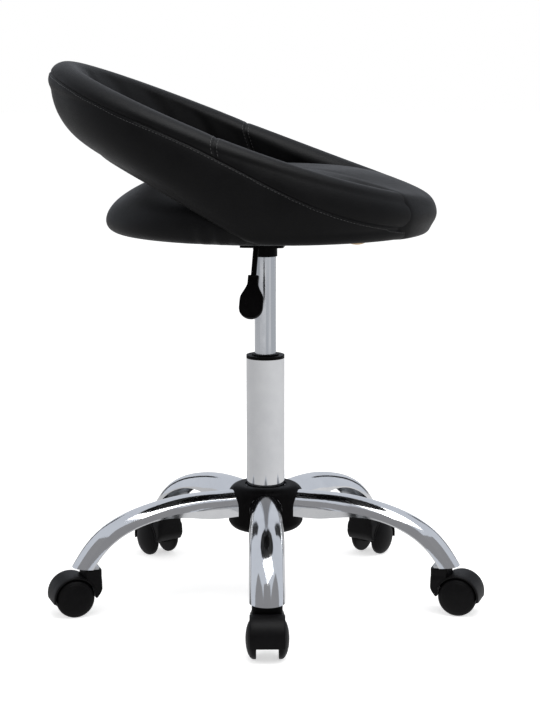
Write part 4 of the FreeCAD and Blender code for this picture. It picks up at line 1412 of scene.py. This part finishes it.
class Casters:
    """Five hooded casters with two domed wheels each."""

    def __init__(self, palette: Palette) -> None:
        """Keep the finishes."""
        self.palette = palette
        self.sizes = CasterSizes()

    def lathe(self, across: np.ndarray, radius: np.ndarray, side: float) -> tuple:
        """Closed shell turned round the axle from distances across and radii that end at the axle.

        Args:
            across: distances along the axle.
            radius: radii, 0 at both ends.
            side: side of the middle, 1 or -1.

        Returns:
            Vertices and faces.
        """
        z = self.sizes
        a = full_turn(96)[None]
        r, l = radius[1:-1, None], across[1:-1, None]
        points = np.stack([z.trail + r * np.cos(a), side * (l + 0.0 * a), z.wheel_radius + r * np.sin(a)], -1)
        poles = np.array([[z.trail, side * end, z.wheel_radius] for end in (across[0], across[-1])])
        return closed_shell(points, poles)

    def wheel(self, side: float) -> list:
        """Wheel: a flat inner face, a rounded edge, a short tread and a face that is a quarter ellipse.

        Args:
            side: side of the middle, 1 or -1.

        Returns:
            Its shells.
        """
        z = self.sizes
        turn = np.linspace(0.0, math.pi / 2.0, 7)
        face = np.linspace(0.0, math.pi / 2.0, 60)
        edge_across = z.wheel_inner + z.edge * (1.0 - np.cos(turn))
        edge_radius = z.wheel_radius - z.edge * (1.0 - np.sin(turn))
        dome_radius = z.wheel_radius * np.cos(face)
        dome_across = z.tread_end + z.dome * np.sin(face)
        groove = np.exp(-(((dome_radius - z.rim_groove) / z.groove_width) ** 2))
        dome_across = dome_across - z.groove_depth * groove
        across = np.concatenate([[z.wheel_inner], [z.wheel_inner] * 3, edge_across, dome_across])
        radius = np.concatenate([[0.0], [0.006, 0.012, 0.018], edge_radius, dome_radius])
        return [self.lathe(across, radius, side)]

    def hood(self) -> tuple:
        """Hood: a strip bent round the axle, crowned by the root of 1 less an eighth power across it.

        Returns:
            Vertices and faces.
        """
        z = self.sizes
        v = z.hood_half * np.sin(np.linspace(-math.pi / 2.0, math.pi / 2.0, 33))
        crown = z.hood_edge + z.hood_crown * np.sqrt(1.0 - np.abs(v / z.hood_half) ** 8)
        lateral = np.concatenate([v, v[::-2]])[:, None]
        radius = np.concatenate([crown, np.full(len(v[::-2]), z.hood_inner)])[:, None]
        a = np.linspace(z.hood_low, z.hood_back, 90)[None]
        return closed_shell(np.stack([z.trail + radius * np.cos(a), lateral + 0.0 * a,
                                      z.wheel_radius + radius * np.sin(a)], -1))

    def column(self, level: np.ndarray, back: np.ndarray, front: np.ndarray, half: np.ndarray) -> tuple:
        """Closed shell of rounded rectangles (superellipses of power 6) at levels.

        Args:
            level: heights.
            back: rear ends.
            front: front ends.
            half: half widths.

        Returns:
            Vertices and faces.
        """
        a = full_turn(72)[None]
        power = self.sizes.corner_power
        middle, long = (back + front)[:, None] / 2.0, (front - back)[:, None] / 2.0
        x = middle + long * signed_power(np.cos(a), power)
        y = half[:, None] * signed_power(np.sin(a), power)
        points = np.stack([x, y, level[:, None] + 0.0 * a], -1)
        return closed_shell(points, points[[0, -1]].mean(1))

    def block(self) -> tuple:
        """Block under the arm: its foot bends forward and its front follows the wheels.

        Returns:
            Vertices and faces.
        """
        z = self.sizes
        shoulder = z.block_top - z.round_top
        level = np.concatenate([np.linspace(z.block_foot, shoulder, 34),
                                shoulder + z.round_top * np.sin(np.linspace(0.2, math.pi / 2.0, 6))])
        below = np.clip((z.block_bend - level) / (z.block_bend - z.wheel_radius), 0.0, None)
        back = z.block_back + z.foot_bend * below ** 1.6
        rise = np.abs(level - z.wheel_radius)
        reach = z.trail - np.sqrt(np.clip(z.hood_inner ** 2 - rise ** 2, 0.0, None))
        front = np.minimum(reach, z.block_front)
        half = z.block_half + z.block_flare * smoothstep((z.flare_top - level) / z.flare_run)
        over = np.clip((level - z.block_top + z.round_top) / z.round_top, 0.0, 1.0)
        inset = z.round_top * (1.0 - np.sqrt(1.0 - over ** 2))
        return self.column(level, back + inset, front - inset, half - inset)

    def web(self) -> list:
        """Boss turned round the axle, and the rounded wall that joins it to the block.

        Returns:
            Its shells.
        """
        z = self.sizes
        boss = z.boss_half * np.array([-1.0, -1.0, -1.0, 1.0, 1.0, 1.0])
        radius = z.boss_radius * np.array([0.0, 0.5, 1.0, 1.0, 0.5, 0.0])
        level = np.linspace(z.web_low, z.web_top, 8)
        flat = np.ones(8)
        front = z.trail + z.web_front
        wall = self.column(level, flat * z.web_back, flat * front, flat * z.boss_half * 0.97)
        return [self.lathe(boss, radius, 1.0), wall]

    def place(self, shells: Sequence[tuple], index: int) -> list:
        """Put shells under the end of an arm.

        Args:
            shells: shells about the stem.
            index: number of the arm from 0.

        Returns:
            The shells in place.
        """
        z = self.sizes
        angle = z.first_angle + index * 2.0 * math.pi / ARM_COUNT
        outward = np.array([z.stem_reach, 0.0, 0.0])
        return [(turn_z(points + outward, angle), faces) for points, faces in shells]

    def build(self) -> None:
        """Build the casters and hide the CAD pieces they stand for."""
        cover = [self.hood(), self.block(), *self.web()]
        wheels = {"left": self.wheel(-1.0), "right": self.wheel(1.0)}
        for index in range(ARM_COUNT):
            name = "caster_%d" % (index + 1)
            pieces = [(name + "_cover", cover, name, name + "_hood")]
            pieces += [(name + "_tyre_" + side, shells, name + "_" + side, name + "_wheel_" + side)
                       for side, shells in wheels.items()]
            for label, shells, body, node in pieces:
                made = shells_object(label, self.place(shells, index), self.palette[Slot.CASTER])
                belongs(made, body, node)


# Lever


@dataclass(frozen=True)
class PaddleSizes:
    """Sizes of the height lever's paddle, in metres, and its place on the lever."""

    root: tuple = (0.0, -0.058, 0.4782)
    fall: float = math.radians(65.0)
    turn: float = math.radians(-11.0)
    start: float = 0.0438
    length: float = 0.056
    neck: float = 0.0068
    half: float = 0.0152
    flare_start: float = 0.009
    flare_end: float = 0.031
    round_start: float = 0.0405
    thick: float = 0.0045
    rim: float = 0.0014
    dish: float = 0.0008
    dish_fade: float = 0.0006
    tip: float = 0.0004
    roundness: float = 0.45
    tip_share: float = 0.45
    end_power: float = 2.4


class Paddle:
    """Pear shaped paddle with a raised rim round a shallow dish on both faces."""

    def __init__(self, palette: Palette) -> None:
        """Keep the finishes."""
        self.palette = palette
        self.sizes = PaddleSizes()

    def width(self, s: np.ndarray) -> np.ndarray:
        """Half width at distances from the neck: an eased flare and an elliptical end.

        Args:
            s: distances from the neck.

        Returns:
            Half widths.
        """
        z = self.sizes
        flared = z.neck + (z.half - z.neck) * smoothstep((s - z.flare_start) / (z.flare_end - z.flare_start))
        end = np.clip((s - z.round_start) / (z.length - z.round_start), 0.0, 1.0)
        return flared * np.sqrt(np.clip(1.0 - end ** z.end_power, 0.0, 1.0))

    def build(self) -> None:
        """Build the paddle from rounded sections along its length, with a dish let into both faces."""
        z = self.sizes
        s = z.length * np.sin(np.linspace(0.0, math.pi / 2.0, 90))[None]
        a = full_turn(160)[:, None]
        half = np.maximum(self.width(s), z.tip)
        across = half * signed_power(np.cos(a), z.roundness)
        edge = np.minimum(half - np.abs(across), np.minimum(z.length - s, s))
        dish = z.dish * smoothstep((edge - z.rim) / z.dish_fade)
        thick = z.thick * np.minimum(1.0, z.tip_share + half / z.neck)
        deep = np.sign(np.sin(a)) * (thick * np.abs(np.sin(a)) ** z.roundness - dish)
        along = np.array([0.0, -math.cos(z.fall), -math.sin(z.fall)])
        normal = np.array([0.0, -math.sin(z.fall), math.cos(z.fall)])
        reach = (z.start + s + 0.0 * a)[..., None]
        points = np.array(z.root) + along * reach + normal * deep[..., None]
        points = points + np.array([1.0, 0.0, 0.0]) * across[..., None]
        made = shells_object("paddle", [closed_shell(turn_z(points, z.turn))], self.palette[Slot.PLASTIC])
        belongs(made, "lever", "lever_paddle")


# Rigid parts


class Dresser:
    """Gives the CAD nodes their finishes."""

    def __init__(self, frame: dict, palette: Palette) -> None:
        """Keep the frame's nodes and record, and the finishes.

        Args:
            palette: finishes.
        """
        self.nodes = frame["nodes"]
        self.record = frame["record"]
        self.palette = palette

    def dress(self) -> None:
        """Assign each node the finish of its record slot."""
        finish = {slot.value: slot for slot in Slot}
        for entry in self.record["subparts"]:
            node = self.nodes[entry["node"]]
            node.data.materials.clear()
            node.data.materials.append(self.palette[finish[entry["material_slot"]]])
        LOG.info("dressed %d nodes", len(self.record["subparts"]))


# Studio


@dataclass(frozen=True)
class StudioSizes:
    """Camera, floor and light sizes.

    A card is its azimuth, width in degrees, lower and upper edge, distance and brightness. A lamp is
    its name, place, the point it looks at, size, power and whether reflections see it.
    """

    camera_place: tuple = (0.002, -2.5, 0.7529)
    pitch: float = 0.1722
    yaw: float = 0.0016
    roll: float = -0.0018
    lens: float = 129.37
    sensor: float = 36.0
    ambient: float = 0.55
    reflected_floor: tuple = (0.63, 0.63, 0.64)
    reflected_sky: tuple = (0.6, 0.63, 0.69)
    cards: tuple = ((58.0, 9.0, 0.0, 2.0, 3.0, 0.03), (122.0, 9.0, 0.0, 2.0, 3.0, 0.03),
                    (-90.0, 60.0, 0.6, 6.0, 4.2, 0.27), (-148.0, 56.0, 0.6, 4.2, 4.2, 0.28),
                    (-32.0, 56.0, 0.6, 4.2, 4.2, 0.28))
    card_blue: float = 1.04
    lamps: tuple = (("key", (0.3, -0.4, 2.6), (0, 0, 0.5), (1.8, 1.8), 42.0, True),
                    ("left", (-2.2, -1.0, 1.2), (0, 0, 0.45), (1.0, 1.8), 16.0, False),
                    ("right", (2.2, -0.6, 1.2), (0, 0, 0.45), (1.0, 1.8), 16.0, False))
    floor_half: float = 14.0
    floor_glow: float = 0.58
    floor_dark: tuple = (0.80, 0.80, 0.80)
    floor_light: tuple = (0.82, 0.82, 0.82)
    floor_left: float = 0.86
    floor_right: float = 1.14


class Studio:
    """Plain pale floor, soft light and the camera."""

    def __init__(self) -> None:
        """Keep the sizes."""
        self.sizes = StudioSizes()

    def camera(self) -> None:
        """Place the camera at the photograph's viewing angle."""
        z = self.sizes
        data = bpy.data.cameras.new("camera")
        data.sensor_fit = "HORIZONTAL"
        data.sensor_width = z.sensor
        data.lens = z.lens
        data.clip_end = 60.0
        camera = bpy.data.objects.new("camera", data)
        bpy.context.scene.collection.objects.link(camera)
        forward = Vector((math.sin(z.yaw) * math.cos(z.pitch), math.cos(z.yaw) * math.cos(z.pitch),
                          -math.sin(z.pitch)))
        right = Vector((math.cos(z.yaw), -math.sin(z.yaw), 0.0))
        up = right.cross(forward)
        c, s = math.cos(z.roll), math.sin(z.roll)
        side = right * c + up * s
        top = up * c - right * s
        basis = Matrix((side, top, -forward)).transposed().to_4x4()
        basis.translation = Vector(z.camera_place)
        camera.matrix_world = basis
        bpy.context.scene.camera = camera

    def floor(self) -> None:
        """Lay a pale floor: white with the soft shadow to the camera, even light grey in reflections."""
        z = self.sizes
        n = Nodes("floor")
        path = n.add("ShaderNodeLightPath", {})
        speckle = n.noise(30.0, 4.0)
        n.finish(Base_Color=n.blend(speckle, z.floor_dark, z.floor_light), Roughness=0.8)
        strength = n.math("MULTIPLY", path.outputs["Is Camera Ray"], z.floor_glow)
        glow = n.add("ShaderNodeEmission", {"Color": (1, 1, 1, 1), "Strength": strength})
        seen = n.add("ShaderNodeAddShader", {0: n.shader.outputs[0], 1: glow.outputs[0]})
        way = n.add("ShaderNodeVectorMath", {0: n.point}, operation="NORMALIZE")
        axes = n.add("ShaderNodeSeparateXYZ", {"Vector": way.outputs[0]})
        strength = n.spread(axes.outputs[0], -1.0, 1.0, z.floor_left, z.floor_right)
        mirrored = n.add("ShaderNodeEmission", {"Color": (*z.reflected_floor, 1.0), "Strength": strength})
        total = n.add("ShaderNodeMixShader", {0: path.outputs["Is Glossy Ray"], 1: seen.outputs[0],
                                              2: mirrored.outputs[0]})
        n.surface(total)
        half = z.floor_half
        corners = np.array([(-half, -half, 0), (half, -half, 0), (half, half, 0), (-half, half, 0)], float)
        mesh_object("floor", corners, np.array([[0, 1, 2, 3]]), n.material)

    def cards(self) -> None:
        """Stand cards that only reflections see: they draw the dark and bright lines in the chrome."""
        for index, (azimuth, wide, low, high, reach, bright) in enumerate(self.sizes.cards):
            n = Nodes("card_%d" % index)
            colour = (bright, bright, bright * self.sizes.card_blue, 1.0)
            n.surface(n.add("ShaderNodeEmission", {"Color": colour, "Strength": 1.0}))
            middle = math.radians(azimuth)
            sweep = middle + math.radians(wide) * np.array([-0.5, 0.5])
            base = np.stack([np.cos(sweep), np.sin(sweep), np.zeros(2)], -1) * reach
            points = np.stack([base + np.array([0, 0, low]), base + np.array([0, 0, high])])
            card = mesh_object("card_%d" % index, points, np.array([[0, 1, 3, 2]]), n.material)
            card.visible_camera = False
            card.visible_diffuse = False
            card.visible_shadow = False

    def world(self) -> None:
        """White surroundings for the camera, light grey in reflections, plain light for the rest."""
        world = bpy.data.worlds.new("studio")
        world.use_nodes = True
        tree = world.node_tree
        tree.nodes.clear()
        path = tree.nodes.new("ShaderNodeLightPath")
        out = tree.nodes.new("ShaderNodeOutputWorld")

        def background(colour: Sequence[float], strength: float) -> bpy.types.Node:
            """One plain background.

            Args:
                colour: its colour.
                strength: its brightness.

            Returns:
                The node.
            """
            node = tree.nodes.new("ShaderNodeBackground")
            node.inputs["Color"].default_value = (*colour, 1.0)
            node.inputs["Strength"].default_value = strength
            return node

        last = background((1.0, 1.0, 1.0), self.sizes.ambient)
        for ray, colour in (("Is Glossy Ray", self.sizes.reflected_sky), ("Is Camera Ray", (1.0, 1.0, 1.0)),
                            ("Is Transmission Ray", (1.0, 1.0, 1.0))):
            mix = tree.nodes.new("ShaderNodeMixShader")
            tree.links.new(path.outputs[ray], mix.inputs[0])
            tree.links.new(last.outputs[0], mix.inputs[1])
            tree.links.new(background(colour, 1.0).outputs[0], mix.inputs[2])
            last = mix
        tree.links.new(last.outputs[0], out.inputs["Surface"])
        bpy.context.scene.world = world

    def lamp(self, name: str, place: Sequence[float], aim: Sequence[float], size: Sequence[float],
             power: float, mirrored: bool) -> None:
        """Hang one soft box.

        Args:
            name: lamp name.
            place: where it hangs.
            aim: the point it looks at.
            size: width and height.
            power: watts.
            mirrored: whether reflections see it.
        """
        data = bpy.data.lights.new(name, "AREA")
        data.shape = "RECTANGLE"
        data.size, data.size_y = size
        data.energy = power
        lamp = bpy.data.objects.new(name, data)
        lamp.visible_glossy = mirrored
        bpy.context.scene.collection.objects.link(lamp)
        lamp.location = place
        lamp.rotation_mode = "QUATERNION"
        lamp.rotation_quaternion = (Vector(aim) - Vector(place)).to_track_quat("-Z", "Y")

    def build(self) -> None:
        """Set up the studio."""
        self.camera()
        self.floor()
        self.cards()
        self.world()
        for lamp in self.sizes.lamps:
            self.lamp(*lamp)
        bpy.context.scene.view_settings.view_transform = "Standard"


def corners(bounds: tuple) -> list:
    """Two corners as plain lists."""
    return [list(map(float, corner)) for corner in bounds]


def main() -> None:
    """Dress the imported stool."""
    logging.basicConfig(level=logging.INFO)
    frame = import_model()
    palette = Palette()
    Dresser(frame, palette).dress()
    SeatLeather(palette).build()
    Casters(palette).build()
    Paddle(palette).build()
    Studio().build()


if __name__ == "__main__":
    main()
